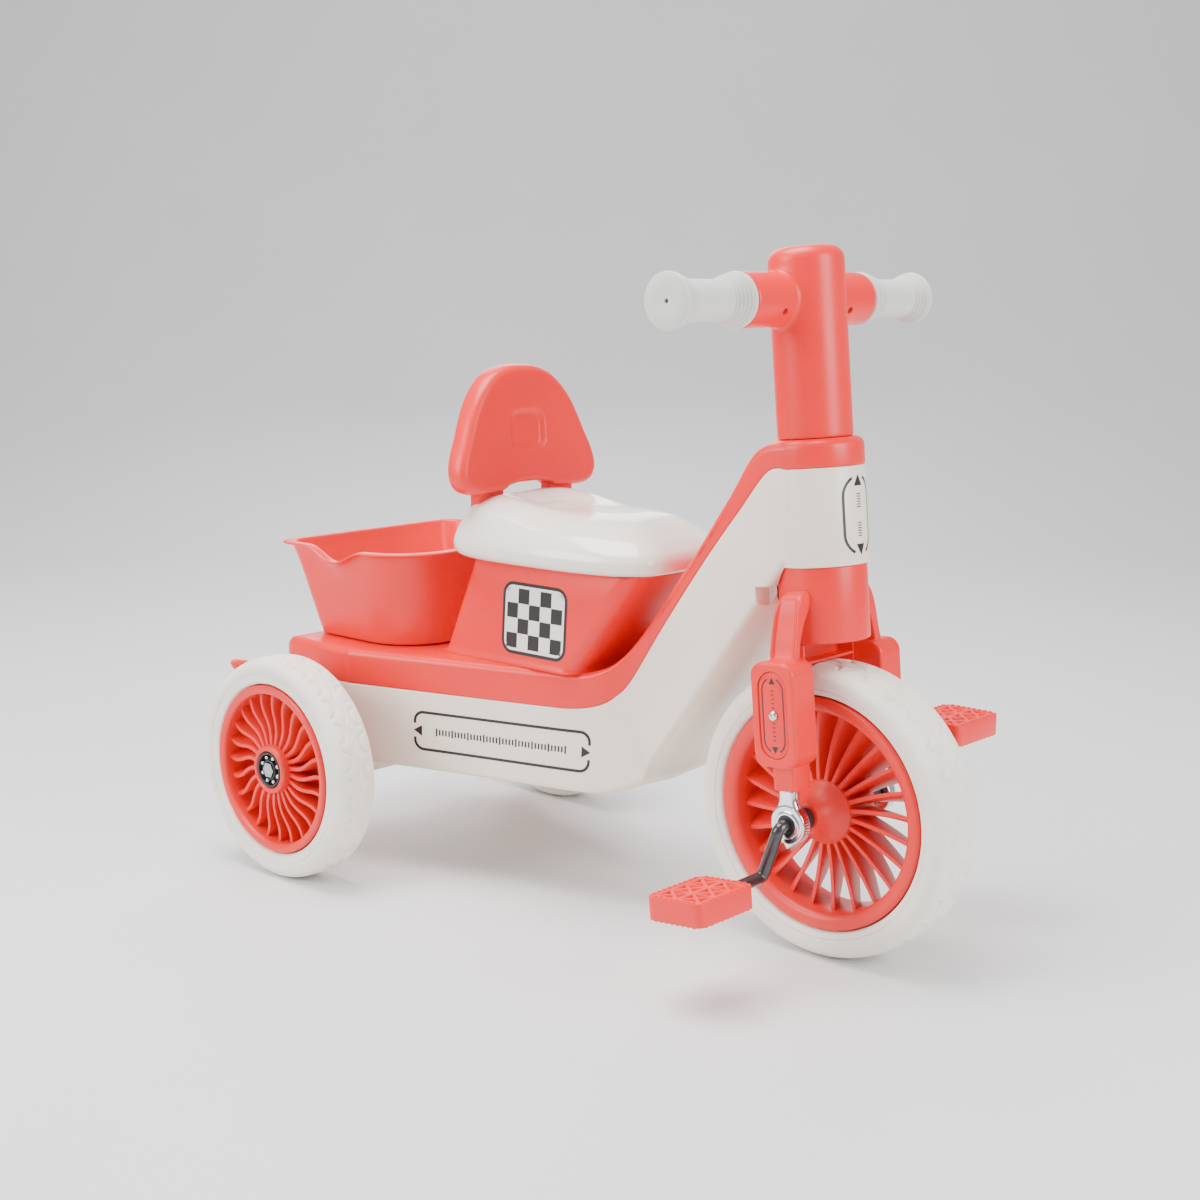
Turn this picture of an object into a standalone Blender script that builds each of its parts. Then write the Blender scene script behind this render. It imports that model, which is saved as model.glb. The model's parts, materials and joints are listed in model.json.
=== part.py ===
"""Children's tricycle: raked head, pedal-driven front wheel, two free rear wheels, seat and rear tub.

Metres, +Z up. +X points forward, the rider's left is +Y, the floor is z = 0 and the origin is on the
floor under the middle of the overall length. Unless a name says otherwise, fore-and-aft places are
measured from the front axle, and the function place() moves them into this frame.
"""

import math

import bmesh
import bpy
from mathutils import Matrix, Vector

# Overall layout
FRONT_AXLE_X = 0.245
REAR_AXLE_BACK = 0.4814
RAKE = math.radians(5.2)
GAP = 0.0003

# Wheels
FRONT_RADIUS = 0.120
FRONT_HALF_WIDTH = 0.028
FRONT_RIM_RADIUS = 0.096
REAR_RADIUS = 0.102
REAR_HALF_WIDTH = 0.022
REAR_RIM_RADIUS = 0.078
REAR_WHEEL_Y = 0.179
BLADES = 24
BLADE_THICKNESS = 0.0036
RIM_PITCH = math.pi / BLADES
FRONT_HUB_END = 0.040
REAR_HUB_RADIUS = 0.022
BEARING_RADIUS = 0.0163
ROD_RADIUS = 0.005

# Steering assembly, heights along the raked axis above the front axle
COLLAR_BOTTOM = 0.1386
COLLAR_RADIUS = 0.0356
HEAD_BOTTOM = 0.1988
HEAD_TOP = 0.2761
HEAD_RADIUS = 0.038
CAP_TOP = 0.2984
STEM_TOP = 0.4470
STEM_RADIUS = 0.030
BAR_HEIGHT = 0.4072
BAR_BACK = 0.009
SLEEVE_RADIUS = 0.0213
SLEEVE_END = 0.078
BAR_RADIUS = 0.011
GRIP_END = 0.161
TUBE_RADIUS = 0.016
TUBE_BOTTOM = 0.150
TUBE_TOP = 0.384
BUSH_RADIUS = 0.021

# Fork and crank
LEG_Y = 0.064
LEG_TOP = 0.1810
BOSS_HEIGHT = 0.0885
BOSS_SIZE = (0.0205, 0.0415)
HANGER_Y = 0.0600
EYE_RADIUS = 0.016
CRANK_THROW = 0.0438
CRANK_ANGLE = math.radians(16.6)
CRANK_ROOT_Y = 0.0750
CRANK_TIP_Y = 0.0790
CRANK_BEND = 0.0062
PEDAL_Y = 0.155
PEDAL_SIZE = (0.053, 0.065, 0.020)
PEDAL_PITCH = {"right": math.radians(5.6), "left": 0.0}
YOKE_HALF_WIDTH = 0.0345
YOKE_BOTTOM = 0.112

# Body
SHELL_WALL = 0.003
DECK_TOP = 0.205
SEAT_BOX_TOP = 0.2950
SEAT_BOTTOM = 0.2953
SEAT_TOP = 0.3415
SEAT_REAR = 0.385
SEAT_NOSE = 0.150
SEAT_HALF_WIDTH = 0.084
TUB_FLOOR = 0.2055
TUB_RIM = 0.295
TUB_WALL = 0.0025
PEG_Y = 0.045

# The body is lofted through these sections, from the tail forward and up to the head. Each gives the
# top edge, the seam between the two shells and the keel, as (back from the front axle, height), and
# the half width.
SECTIONS = (
    ((-0.562, 0.198), (-0.562, 0.173), (-0.560, 0.112), 0.113),
    ((-0.548, 0.2045), (-0.548, 0.173), (-0.546, 0.100), 0.120),
    ((-0.512, DECK_TOP), (-0.512, 0.173), (-0.514, 0.098), 0.123),
    ((-0.498, DECK_TOP), (-0.498, 0.173), (-0.499, 0.083), 0.1235),
    ((-0.464, DECK_TOP), (-0.464, 0.173), (-0.463, 0.083), 0.1225),
    ((-0.450, DECK_TOP), (-0.450, 0.173), (-0.448, 0.098), 0.1195),
    ((-0.350, DECK_TOP), (-0.350, 0.173), (-0.348, 0.100), 0.092),
    ((-0.262, DECK_TOP), (-0.262, 0.173), (-0.248, 0.100), 0.067),
    ((-0.231, 0.2052), (-0.236, 0.1737), (-0.216, 0.101), 0.0585),
    ((-0.207, 0.2125), (-0.214, 0.1785), (-0.190, 0.107), 0.0515),
    ((-0.1925, 0.2235), (-0.1985, 0.1880), (-0.1668, 0.118), 0.0455),
    ((-0.1790, 0.2390), (-0.1831, 0.2051), (-0.1585, 0.138), 0.0415),
    ((-0.1615, 0.2625), (-0.1518, 0.2524), (-0.1180, 0.194), 0.040),
    ((-0.1180, 0.3205), (-0.1054, 0.3161), (-0.0700, 0.2605), 0.040),
    ((-0.0830, 0.3705), (-0.0700, 0.3607), (-0.0305, 0.3150), 0.0398),
    ((-0.0570, 0.4085), (-0.0440, 0.3925), (-0.0255, 0.3180), 0.0388),
    ((-0.0262, 0.4160), (-0.0245, 0.3940), (-0.0182, 0.3190), 0.0379),
)
BEND_SECTION = 8
COLOURS = {
    "coral": (0.871, 0.114, 0.102, 1),
    "white": (0.86, 0.82, 0.76, 1),
    "tyre": (0.83, 0.80, 0.76, 1),
    "grip": (0.62, 0.62, 0.59, 1),
    "chrome": (0.75, 0.75, 0.77, 1),
    "steel": (0.45, 0.45, 0.47, 1),
    "black": (0.02, 0.02, 0.022, 1),
}
METALS = ("chrome", "steel")
SIDES = (("right", -1), ("left", 1))

FRONT_AXLE = Vector((FRONT_AXLE_X, 0, FRONT_RADIUS))
REAR_AXLE = Vector((FRONT_AXLE_X - REAR_AXLE_BACK, 0, REAR_RADIUS))
STEER = Matrix.Translation(FRONT_AXLE) @ Matrix.Rotation(-RAKE, 4, "Y")


def place(x, y, z):
    return Vector((FRONT_AXLE_X + x, y, z))


def outward(side, centre):
    """A frame whose Z points out of the side that it is on, along the wheel axles."""
    return Matrix.Translation(centre) @ Matrix.Rotation(-side * math.pi / 2, 4, "X")


def material(name, finish):
    made = bpy.data.materials.new(name)
    made.use_nodes = True
    shader = made.node_tree.nodes["Principled BSDF"]
    shader.inputs["Base Color"].default_value = COLOURS[finish]
    shader.inputs["Roughness"].default_value = 0.25 if finish in METALS else 0.4
    shader.inputs["Metallic"].default_value = 1.0 if finish in METALS else 0.0
    return made


def add(name, bm, finish=None, matrix=None, pivot=None):
    """A new object from bm. A moving piece's origin is put on its pivot, an empty that it is parented to."""
    if matrix is not None:
        bmesh.ops.transform(bm, matrix=matrix, verts=bm.verts)
    bmesh.ops.recalc_face_normals(bm, faces=bm.faces)
    mesh = bpy.data.meshes.new(name)
    bm.to_mesh(mesh)
    bm.free()
    obj = bpy.data.objects.new(name, mesh)
    bpy.context.scene.collection.objects.link(obj)
    if finish:
        finish_object(obj, finish, pivot)
    return obj


def finish_object(obj, finish, pivot=None):
    obj.data.materials.clear()
    obj.data.materials.append(material(obj.name, finish))
    obj.data.shade_smooth()
    obj.data.set_sharp_from_angle(angle=math.radians(35))
    if pivot is not None:
        obj.data.transform(Matrix.Translation(-pivot.location))
        obj.parent = pivot
    return obj


def combine(obj, other, operation):
    """obj joined with other, or with other cut away; other is used up."""
    modifier = obj.modifiers.new(operation.lower(), "BOOLEAN")
    modifier.operation = operation
    modifier.solver = "EXACT"
    modifier.object = other
    depsgraph = bpy.context.evaluated_depsgraph_get()
    depsgraph.update()
    result = bpy.data.meshes.new_from_object(obj.evaluated_get(depsgraph))
    obj.modifiers.clear()
    obj.data = result
    bpy.data.objects.remove(other)
    return obj


def lofted(rings):
    """A closed skin through rings of equally many points, flat at both ends."""
    bm = bmesh.new()
    loops = [[bm.verts.new(point) for point in ring] for ring in rings]
    count = len(loops[0])
    for first, second in zip(loops, loops[1:]):
        for i in range(count):
            j = (i + 1) % count
            bm.faces.new((first[i], first[j], second[j], second[i]))
    bm.faces.new(loops[0])
    bm.faces.new(loops[-1])
    return bm


def turned(profile, segments, ring=False):
    """A profile of (radius, height) points turned about Z. A ring's profile is a closed loop."""
    bm = bmesh.new()
    rows = []
    for radius, height in profile:
        turns = 1 if radius == 0 else segments
        angles = (2 * math.pi * i / segments for i in range(turns))
        rows.append([bm.verts.new((radius * math.cos(a), radius * math.sin(a), height)) for a in angles])
    pairs = list(zip(rows, rows[1:]))
    if ring:
        pairs.append((rows[-1], rows[0]))
    for first, second in pairs:
        for i in range(segments):
            j = (i + 1) % segments
            corners = [first[i % len(first)], first[j % len(first)]]
            corners += [second[j % len(second)], second[i % len(second)]]
            unique = list(dict.fromkeys(corners))
            if len(unique) > 2:
                bm.faces.new(unique)
    return bm


def rod(radius, low, high, segments=24):
    return turned(((0, low), (radius, low), (radius, high), (0, high)), segments)


def tube(outer, inner, low, high, segments=24):
    return turned(((outer, low), (outer, high), (inner, high), (inner, low)), segments, ring=True)


def prism(outline, low, high):
    """An outline of (x, y) points drawn out along Z."""
    return lofted([[(x, y, z) for x, y in outline] for z in (low, high)])


def block(low, high):
    (x0, y0, z0), (x1, y1, z1) = low, high
    return prism(((x0, y0), (x1, y0), (x1, y1), (x0, y1)), z0, z1)


def arc(centre, radius, start, end, steps):
    """Points of (x, y) on an arc, both ends included, angles in degrees."""
    angles = (math.radians(start + (end - start) * i / steps) for i in range(steps + 1))
    return [(centre[0] + radius * math.cos(a), centre[1] + radius * math.sin(a)) for a in angles]


def rounded_box(rear, front, half_width, rear_radius, front_radius, steps=4):
    """A plan outline with round corners, anticlockwise from the rear right."""
    rear_x, front_x = rear + rear_radius, front - front_radius
    rear_y, front_y = half_width - rear_radius, half_width - front_radius
    return (
        arc((rear_x, -rear_y), rear_radius, 180, 270, steps)
        + arc((front_x, -front_y), front_radius, 270, 360, steps)
        + arc((front_x, front_y), front_radius, 0, 90, steps)
        + arc((rear_x, rear_y), rear_radius, 90, 180, steps)
    )


def pill(half_width, half_height, steps=6):
    straight = half_height - half_width
    return arc((0, straight), half_width, 0, 180, steps) + arc((0, -straight), half_width, 180, 360, steps)


def bevelled(obj, width, segments=2, angle=40):
    modifier = obj.modifiers.new("edges", "BEVEL")
    modifier.width = width
    modifier.segments = segments
    modifier.limit_method = "ANGLE"
    modifier.angle_limit = math.radians(angle)
    return obj


def pivot_at(name, location):
    empty = bpy.data.objects.new(name, None)
    empty.location = location
    bpy.context.scene.collection.objects.link(empty)
    return empty


# Body shells


def section_ring(seam, edge, half_width, corner, lift, inset=0.0, ridge=0.0):
    """One section, in the plane through the seam and the edge, with its edge corners rounded."""
    seam, edge = Vector((seam[0], 0, seam[1])), Vector((edge[0], 0, edge[1]))
    along = (edge - seam).normalized()
    height = (edge - seam).length - inset
    width = half_width - inset
    right = arc((-width + corner, height - corner), corner, 180, 90, 3)
    left = [(-y, h) for y, h in reversed(right)]
    flat = [(-width, lift)] + right + [(0, height + ridge)] + left + [(width, lift)]
    origin = place(seam.x, 0, seam.z)
    return [origin + along * h + Vector((0, y, 0)) for y, h in flat]


def body_loft(name, use_keel, sections, corner, lift, inset=0.0, ridge=0.0):
    rings = []
    for index, (top, seam, keel, half_width) in enumerate(sections):
        edge = keel if use_keel else top
        here = ridge if index + len(SECTIONS) - len(sections) > BEND_SECTION else 0.0
        rings.append(section_ring(seam, edge, half_width, corner, lift, inset, here))
    return add(name, lofted(rings))


def make_lower_shell():
    shell = body_loft("lower_shell", True, SECTIONS, 0.007, 0.0, ridge=0.004)
    # Room for the turning fork collar, and on each side of it for the swing of a fork leg's top.
    collar_room = rod(COLLAR_RADIUS + 0.0012, 0.10, HEAD_BOTTOM + 0.0015, 32)
    combine(shell, add("collar_room", collar_room, matrix=STEER), "DIFFERENCE")
    for side in (-1, 1):
        low, high = sorted((side * 0.0225, side * 0.060))
        leg_room = block((-0.0375, low, 0.160), (0.020, high, LEG_TOP + 0.0030))
        combine(shell, add("leg_room", leg_room, matrix=STEER), "DIFFERENCE")
    tube_room = rod(BUSH_RADIUS + 0.003, 0.10, 0.30, 20)
    combine(shell, add("tube_room", tube_room, matrix=STEER), "DIFFERENCE")
    head = tube(HEAD_RADIUS, BUSH_RADIUS + GAP, HEAD_BOTTOM, HEAD_TOP, 28)
    combine(shell, add("head", head, matrix=STEER), "UNION")
    hollow = body_loft("hollow", True, SECTIONS[1:-4], 0.005, -0.004, inset=SHELL_WALL)
    combine(shell, hollow, "DIFFERENCE")
    bore = add("axle_bore", rod(0.0085, -0.2, 0.2, 20), matrix=outward(1, REAR_AXLE))
    combine(shell, bore, "DIFFERENCE")
    finish_object(shell, "white")


def make_upper_shell():
    shell = body_loft("upper_shell", False, SECTIONS, 0.006, GAP)
    head_room = rod(HEAD_RADIUS + GAP, HEAD_BOTTOM - 0.02, HEAD_TOP + GAP, 40)
    combine(shell, add("head_room", head_room, matrix=STEER), "DIFFERENCE")
    tube_room = rod(BUSH_RADIUS + 0.003, 0.2, 0.31, 20)
    combine(shell, add("tube_room", tube_room, matrix=STEER), "DIFFERENCE")
    rim = arc((HEAD_RADIUS - 0.006, CAP_TOP - 0.006), 0.006, 0, 90, 3)
    bore = BUSH_RADIUS + GAP
    cap_profile = [(bore, HEAD_TOP + GAP), (HEAD_RADIUS, HEAD_TOP + GAP)] + rim + [(bore, CAP_TOP)]
    cap = turned(cap_profile, 28, ring=True)
    combine(shell, add("cap", cap, matrix=STEER), "UNION")
    hollow = body_loft("hollow", False, SECTIONS[1:7], 0.004, -0.004, inset=SHELL_WALL)
    combine(shell, hollow, "DIFFERENCE")
    finish_object(shell, "coral")


def make_seat_box():
    def walls(name, inset, low, high):
        def level(height):
            share = (height - DECK_TOP) / (SEAT_BOX_TOP - DECK_TOP)
            rear, front = -0.3925 + 0.0345 * share + inset, -0.233 + 0.065 * share - inset
            half = 0.066 - 0.006 * share - inset
            outline = rounded_box(rear, front, half, 0.008 - inset / 2, 0.014 - inset / 2, 3)
            return [place(x, y, height) for x, y in outline]

        return add(name, lofted([level(low), level(high)]))

    box = walls("seat_box", 0.0, DECK_TOP + GAP, SEAT_BOX_TOP)
    combine(box, walls("hollow", SHELL_WALL, DECK_TOP - 0.01, SEAT_BOX_TOP - SHELL_WALL), "DIFFERENCE")
    finish_object(box, "coral")


def ramp(low, high, value):
    """A smooth rise from 0 at low to 1 at high."""
    share = min(1.0, max(0.0, (value - low) / (high - low)))
    return share * share * (3 - 2 * share)


def seat_outline(inset, height, sweep, points=32):
    """A squarish oval that narrows towards the nose. Sweep raises its rear edge and lowers its nose."""
    middle = -(SEAT_REAR + SEAT_NOSE) / 2
    length = (SEAT_REAR - SEAT_NOSE) / 2 - inset
    width = SEAT_HALF_WIDTH - inset
    ring = []
    for i in range(points):
        angle = 2 * math.pi * (i + 0.5) / points
        across, along = math.sin(angle), math.cos(angle)
        x = length * math.copysign(abs(along) ** 0.42, along)
        taper = 1 - 0.15 * max(0.0, x / length) ** 1.5
        y = width * taper * math.copysign(abs(across) ** 0.42, across)
        lift = 0.0150 * ramp(-0.240, -0.362, middle + x) - 0.004 * ramp(-0.230, -0.165, middle + x)
        ring.append(place(middle + x, y, height + sweep * lift))
    return ring


def make_seat():
    levels = (
        (0.012, SEAT_BOTTOM, 0.0),
        (0.004, SEAT_BOTTOM + 0.003, 0.0),
        (0.0, 0.3050, 0.0),
        (0.0, 0.3095, 0.1),
        (0.006, 0.3195, 0.5),
        (0.012, 0.3255, 0.9),
        (0.022, 0.3315, 1.0),
        (0.040, 0.3390, 0.85),
        (0.055, 0.3412, 0.35),
        (0.066, SEAT_TOP, 0.0),
    )
    seat = add("seat", lofted([seat_outline(*level) for level in levels]))
    # The moulding is hollow from below, and stays solid at the back where the backrest plugs in.
    room = prism(rounded_box(-0.330, -0.195, 0.058, 0.015, 0.015, 4), SEAT_BOTTOM - 0.01, 0.3215)
    combine(seat, add("room", room, matrix=Matrix.Translation(place(0, 0, 0))), "DIFFERENCE")
    for side in (-1, 1):
        y = side * PEG_Y
        socket = block(place(-0.3615, y - 0.0155, 0.322), place(-0.3475, y + 0.0155, 0.36))
        combine(seat, add("socket", socket), "DIFFERENCE")
    finish_object(seat, "white")


# Half of the backrest's outline, from the top down to the middle of the arch under it
BACKREST_HALF = (
    (0.0, 0.4650),
    (0.0200, 0.4632),
    (0.0370, 0.4570),
    (0.0510, 0.4455),
    (0.0615, 0.4320),
    (0.0695, 0.4170),
    (0.0765, 0.4010),
    (0.0832, 0.3870),
    (0.0870, 0.3745),
    (0.0865, 0.3640),
    (0.0810, 0.3560),
    (0.0700, 0.3520),
    (0.0500, 0.3515),
    (0.0340, 0.3525),
    (0.0280, 0.3560),
    (0.0140, 0.3580),
    (0.0, 0.3585),
)


def make_backrest():
    half, low = 0.087, 0.3525
    centre = Vector((0, 0.400))
    outline = BACKREST_HALF + tuple((-y, z) for y, z in BACKREST_HALF[-2:0:-1])
    rings = []
    for depth, inset in ((0, 0.009), (0.003, 0.003), (0.008, 0), (0.017, 0), (0.022, 0.003), (0.025, 0.009)):
        ring = []
        for y, z in outline:
            spot = centre + (Vector((y, z)) - centre) * (1 - inset / half)
            x = -0.367 + depth - 0.09 * (spot.y - low) + 0.5 * spot.x**2
            ring.append(place(x, spot.x, spot.y))
        rings.append(ring)
    back = add("backrest", lofted(rings))
    for side in (-1, 1):
        y = side * PEG_Y
        peg = block(place(-0.3610, y - 0.015, 0.3225), place(-0.3480, y + 0.015, 0.362))
        combine(back, add("peg", peg), "UNION")
    finish_object(back, "coral")


# The scoop in each side rim: its depth as a share, at shares of the straight part of the rim
DIPS = ((0.20, 0.0), (0.41, 0.55), (0.62, 1.0), (0.83, 0.55), (0.98, 0.0))


def tub_ring(share, grow, height, dip=0.0):
    """The tub's plan outline at a share of its height, with the pouring dip in each side rim."""
    rear, front = -0.545 - 0.024 * share - grow, -0.412 + 0.007 * share + grow
    outline = rounded_box(rear, front, 0.092 + 0.016 * share + grow, 0.018 + grow, 0.052 + grow, 6)
    side = rear + 0.018 + grow
    length = front - 0.052 - grow - side
    dips = [(side + length * along, drop) for along, drop in DIPS]
    half = 0.092 + 0.016 * share + grow
    rims = [(x, -half, drop) for x, drop in dips]
    far = [(x, half, drop) for x, drop in reversed(dips)]
    ring = [(x, y, 0.0) for x, y in outline]
    ring = ring[:7] + rims + ring[7:21] + far + ring[21:]
    return [place(x, y, height - dip * drop) for x, y, drop in ring]


def make_storage_tub():
    dip = 0.0125
    rings = [
        tub_ring(0.03, -0.004, TUB_FLOOR),
        tub_ring(0.06, 0.0, TUB_FLOOR + 0.004),
        tub_ring(0.6, 0.0, 0.262),
        tub_ring(0.97, 0.0, TUB_RIM - 0.004, dip),
        tub_ring(0.97, 0.008, TUB_RIM - 0.003, dip),
        tub_ring(0.97, 0.008, TUB_RIM - 0.001, dip),
        tub_ring(0.97, 0.001, TUB_RIM, dip),
        tub_ring(0.97, -TUB_WALL, TUB_RIM - 0.002, dip),
        tub_ring(0.6, -TUB_WALL, 0.262),
        tub_ring(0.06, -TUB_WALL, TUB_FLOOR + 0.007),
        tub_ring(0.04, -TUB_WALL - 0.004, TUB_FLOOR + TUB_WALL),
    ]
    tub = add("storage_tub", lofted(rings))
    for side in (-1, 1):
        hole = rod(0.0022, TUB_FLOOR - 0.01, TUB_FLOOR + 0.01, 12)
        spot = Matrix.Translation(place(-0.478, side * 0.05, 0))
        combine(tub, add("hole", hole, matrix=spot), "DIFFERENCE")
    finish_object(tub, "coral")


def make_rear_bumper():
    """A bar across the tail with its round ends turned up, on two lugs."""
    rings = []
    end = 0.152
    angles = [math.pi * i / 5 for i in range(10)]
    for y in (-end, -0.149, -0.143, -0.125, -0.07, 0.0, 0.07, 0.125, 0.143, 0.149, end):
        reach = abs(y) / end
        size = 0.0075 * math.sqrt(max(0.08, 1 - reach**20))
        z = 0.158 + 0.018 * reach**4
        rings.append([place(size * math.cos(a) - 0.6012, y, z + size * math.sin(a)) for a in angles])
    bar = add("rear_bumper", lofted(rings))
    for side in (-1, 1):
        lug = block(place(-0.600, side * 0.06 - 0.010, 0.150), place(-0.5628, side * 0.06 + 0.010, 0.164))
        combine(bar, add("lug", lug), "UNION")
    finish_object(bar, "coral")


# Steering


def make_stem(pivot):
    bar = Vector((-BAR_BACK, 0, BAR_HEIGHT))
    rim = arc((STEM_RADIUS - 0.010, STEM_TOP - 0.010), 0.010, 0, 90, 4)
    post = [(0, CAP_TOP + GAP), (STEM_RADIUS, CAP_TOP + GAP)] + rim + [(0, STEM_TOP)]
    stem = add("stem", turned(post, 28), matrix=STEER)
    end = arc((SLEEVE_RADIUS - 0.003, SLEEVE_END - 0.003), 0.003, 0, 90, 2)
    sleeve = [(0, -SLEEVE_END)] + [(r, -h) for r, h in reversed(end)] + end + [(0, SLEEVE_END)]
    across = STEER @ outward(1, bar)
    combine(stem, add("sleeve", turned(sleeve, 22), matrix=across), "UNION")
    combine(stem, add("bar_bore", rod(BAR_RADIUS + GAP, -0.1, 0.1, 20), matrix=across), "DIFFERENCE")
    tube_bore = rod(TUBE_RADIUS + GAP, 0.28, TUBE_TOP + 0.001, 20)
    combine(stem, add("tube_bore", tube_bore, matrix=STEER), "DIFFERENCE")
    for name, side in SIDES:
        under = STEER @ Matrix.Translation(bar + Vector((0, side * 0.043, 0)))
        under = under @ Matrix.Rotation(math.radians(120), 4, "Y")
        combine(stem, add("pocket", rod(0.0030, 0.0080, 0.03, 12), matrix=under), "DIFFERENCE")
        screw_profile = (
            (0, 0.0116),
            (0.0015, 0.0116),
            (0.0015, 0.0160),
            (0.0026, 0.0160),
            (0.0022, 0.0185),
            (0, 0.0185),
        )
        add("stem_screw_" + name, turned(screw_profile, 12), "steel", under, pivot)
    finish_object(stem, "coral", pivot)
    add("handlebar_tube", tube(BAR_RADIUS, 0.009, -0.150, 0.150, 20), "steel", across, pivot)
    for name, side in SIDES:
        add("grip_" + name, turned(grip_profile(), 18, ring=True), "grip", STEER @ outward(side, bar), pivot)


def grip_profile():
    """Flanges at both ends whose slopes towards the hand are stepped into ribs, and a blind bore."""
    outer = [(0.0205, SLEEVE_END + GAP), (0.0215, SLEEVE_END + 0.0015), (0.0215, SLEEVE_END + 0.0035)]
    ribs = 3
    for i in range(ribs):
        radius = 0.0211 - 0.0045 * (i + 1) / ribs
        outer += [(radius, SLEEVE_END + 0.0050 + 0.005 * i), (radius, SLEEVE_END + 0.0085 + 0.005 * i)]
    outer += [(0.0160, 0.102), (0.0160, 0.146), (0.0207, 0.1565), (0.0200, GRIP_END)]
    inner = BAR_RADIUS + GAP
    return outer + [(0.0016, GRIP_END), (0.0016, 0.1505), (inner, 0.1505), (inner, SLEEVE_END + GAP)]


def make_steering_tube(pivot):
    add("steering_tube", tube(TUBE_RADIUS, 0.0135, TUBE_BOTTOM, TUBE_TOP, 20), "steel", STEER, pivot)
    inner = TUBE_RADIUS + GAP
    lower = tube(BUSH_RADIUS, inner, HEAD_BOTTOM + 0.0003, HEAD_BOTTOM + 0.025, 20)
    upper = tube(BUSH_RADIUS, inner, HEAD_TOP - 0.022, CAP_TOP - 0.001, 20)
    add("head_bush_lower", lower, "black", STEER)
    add("head_bush_upper", upper, "black", STEER)


def make_fork_crown(pivot):
    """The collar under the head, with a flat seat on each side for its leg."""
    edge = 0.0015
    profile = [
        (TUBE_RADIUS + GAP, COLLAR_BOTTOM),
        (COLLAR_RADIUS - edge, COLLAR_BOTTOM),
        (COLLAR_RADIUS, COLLAR_BOTTOM + edge),
        (COLLAR_RADIUS, HEAD_BOTTOM - GAP),
        (TUBE_RADIUS + GAP, HEAD_BOTTOM - GAP),
    ]
    crown = add("fork_crown", turned(profile, 28, ring=True), matrix=STEER)
    for side in (-1, 1):
        low, high = sorted((side * 0.0335, side * 0.0415))
        leg_seat = block((-0.0145, low, 0.130), (0.0165, high, LEG_TOP + 0.0005))
        combine(crown, add("leg_seat", leg_seat, matrix=STEER), "DIFFERENCE")
    finish_object(crown, "coral", pivot)


def make_fork_yoke(pivot):
    """A hood under the collar: a box open to the front, and cheeks that stand beside the tyre."""
    wall, half, top, floor = 0.002, YOKE_HALF_WIDTH, COLLAR_BOTTOM - GAP, FRONT_RADIUS + 0.0015
    yoke = add("fork_yoke", block((-0.0210, -half, YOKE_BOTTOM), (0.0025, half, top)), matrix=STEER)
    room = block((-0.0120, wall - half, floor + wall), (0.01, half - wall, top - wall))
    combine(yoke, add("room", room, matrix=STEER), "DIFFERENCE")
    tyre_room = block((-0.03, wall - half, YOKE_BOTTOM - 0.01), (0.01, half - wall, floor))
    combine(yoke, add("tyre_room", tyre_room, matrix=STEER), "DIFFERENCE")
    finish_object(yoke, "coral", pivot)


def leg_ring(x, half, y_in, y_out, height, corner=0.003):
    """A cross-section of a leg: fore-and-aft half width, inner and outer faces, and rounded edges."""
    mid, thick = (y_in + y_out) / 2, (y_out - y_in) / 2
    ring = []
    for cx, cy, start in ((1, 1, 0), (-1, 1, 90), (-1, -1, 180), (1, -1, 270)):
        centre = (x + cx * (half - corner), mid + cy * (thick - corner))
        ring += [(px, py, height) for px, py in arc(centre, corner, start, start + 90, 2)]
    return ring


def make_leg(name, side, pivot):
    """A leg from its seat on the collar, down over the axle's hanger, with a pill-shaped boss."""
    arm = [
        leg_ring(0.0020, 0.0080, 0.0338, 0.0400, LEG_TOP, 0.002),
        leg_ring(0.0020, 0.0100, 0.0338, 0.0470, 0.1765),
        leg_ring(0.0010, 0.0112, 0.0360, 0.0520, 0.1680),
        leg_ring(0.0005, 0.0120, 0.0440, 0.0550, 0.1560),
        leg_ring(0.0000, 0.0122, 0.0490, 0.0575, 0.1440),
        leg_ring(0.0000, 0.0122, 0.0515, 0.0600, 0.1320),
        leg_ring(0.0000, 0.0122, 0.0530, 0.0620, 0.1180),
        leg_ring(0.0000, 0.0110, 0.0440, 0.0660, 0.0600),
        leg_ring(0.0000, 0.0110, 0.0440, 0.0660, 0.0450),
        leg_ring(0.0000, 0.0108, 0.0445, 0.0660, 0.0270),
    ]
    mirrored = [[(x, side * y, z) for x, y, z in ring] for ring in arm]
    leg = add(name, lofted(mirrored), matrix=STEER)
    boss_centre = Vector((0.0, side * LEG_Y, BOSS_HEIGHT))
    outline = rounded_box(-BOSS_SIZE[0], BOSS_SIZE[0], BOSS_SIZE[1], 0.010, 0.010, 4)
    boss = bevelled(add("boss", prism(outline, -0.0180, 0.011)), 0.0018, 1)
    boss.data.transform(STEER @ outward(side, boss_centre))
    combine(leg, boss, "UNION")
    boss_frame = STEER @ outward(side, boss_centre)
    recess = add("recess", prism(pill(0.0135, 0.0345), 0.0085, 0.02), matrix=boss_frame)
    combine(leg, recess, "DIFFERENCE")
    slot = block((-0.0068, side * HANGER_Y - 0.0034, 0.0), (0.0068, side * HANGER_Y + 0.0034, 0.105))
    combine(leg, add("slot", slot, matrix=STEER), "DIFFERENCE")
    combine(leg, add("hole", rod(0.0023, -0.02, 0.02, 12), matrix=boss_frame), "DIFFERENCE")
    finish_object(leg, "coral", pivot)
    return boss_centre


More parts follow.
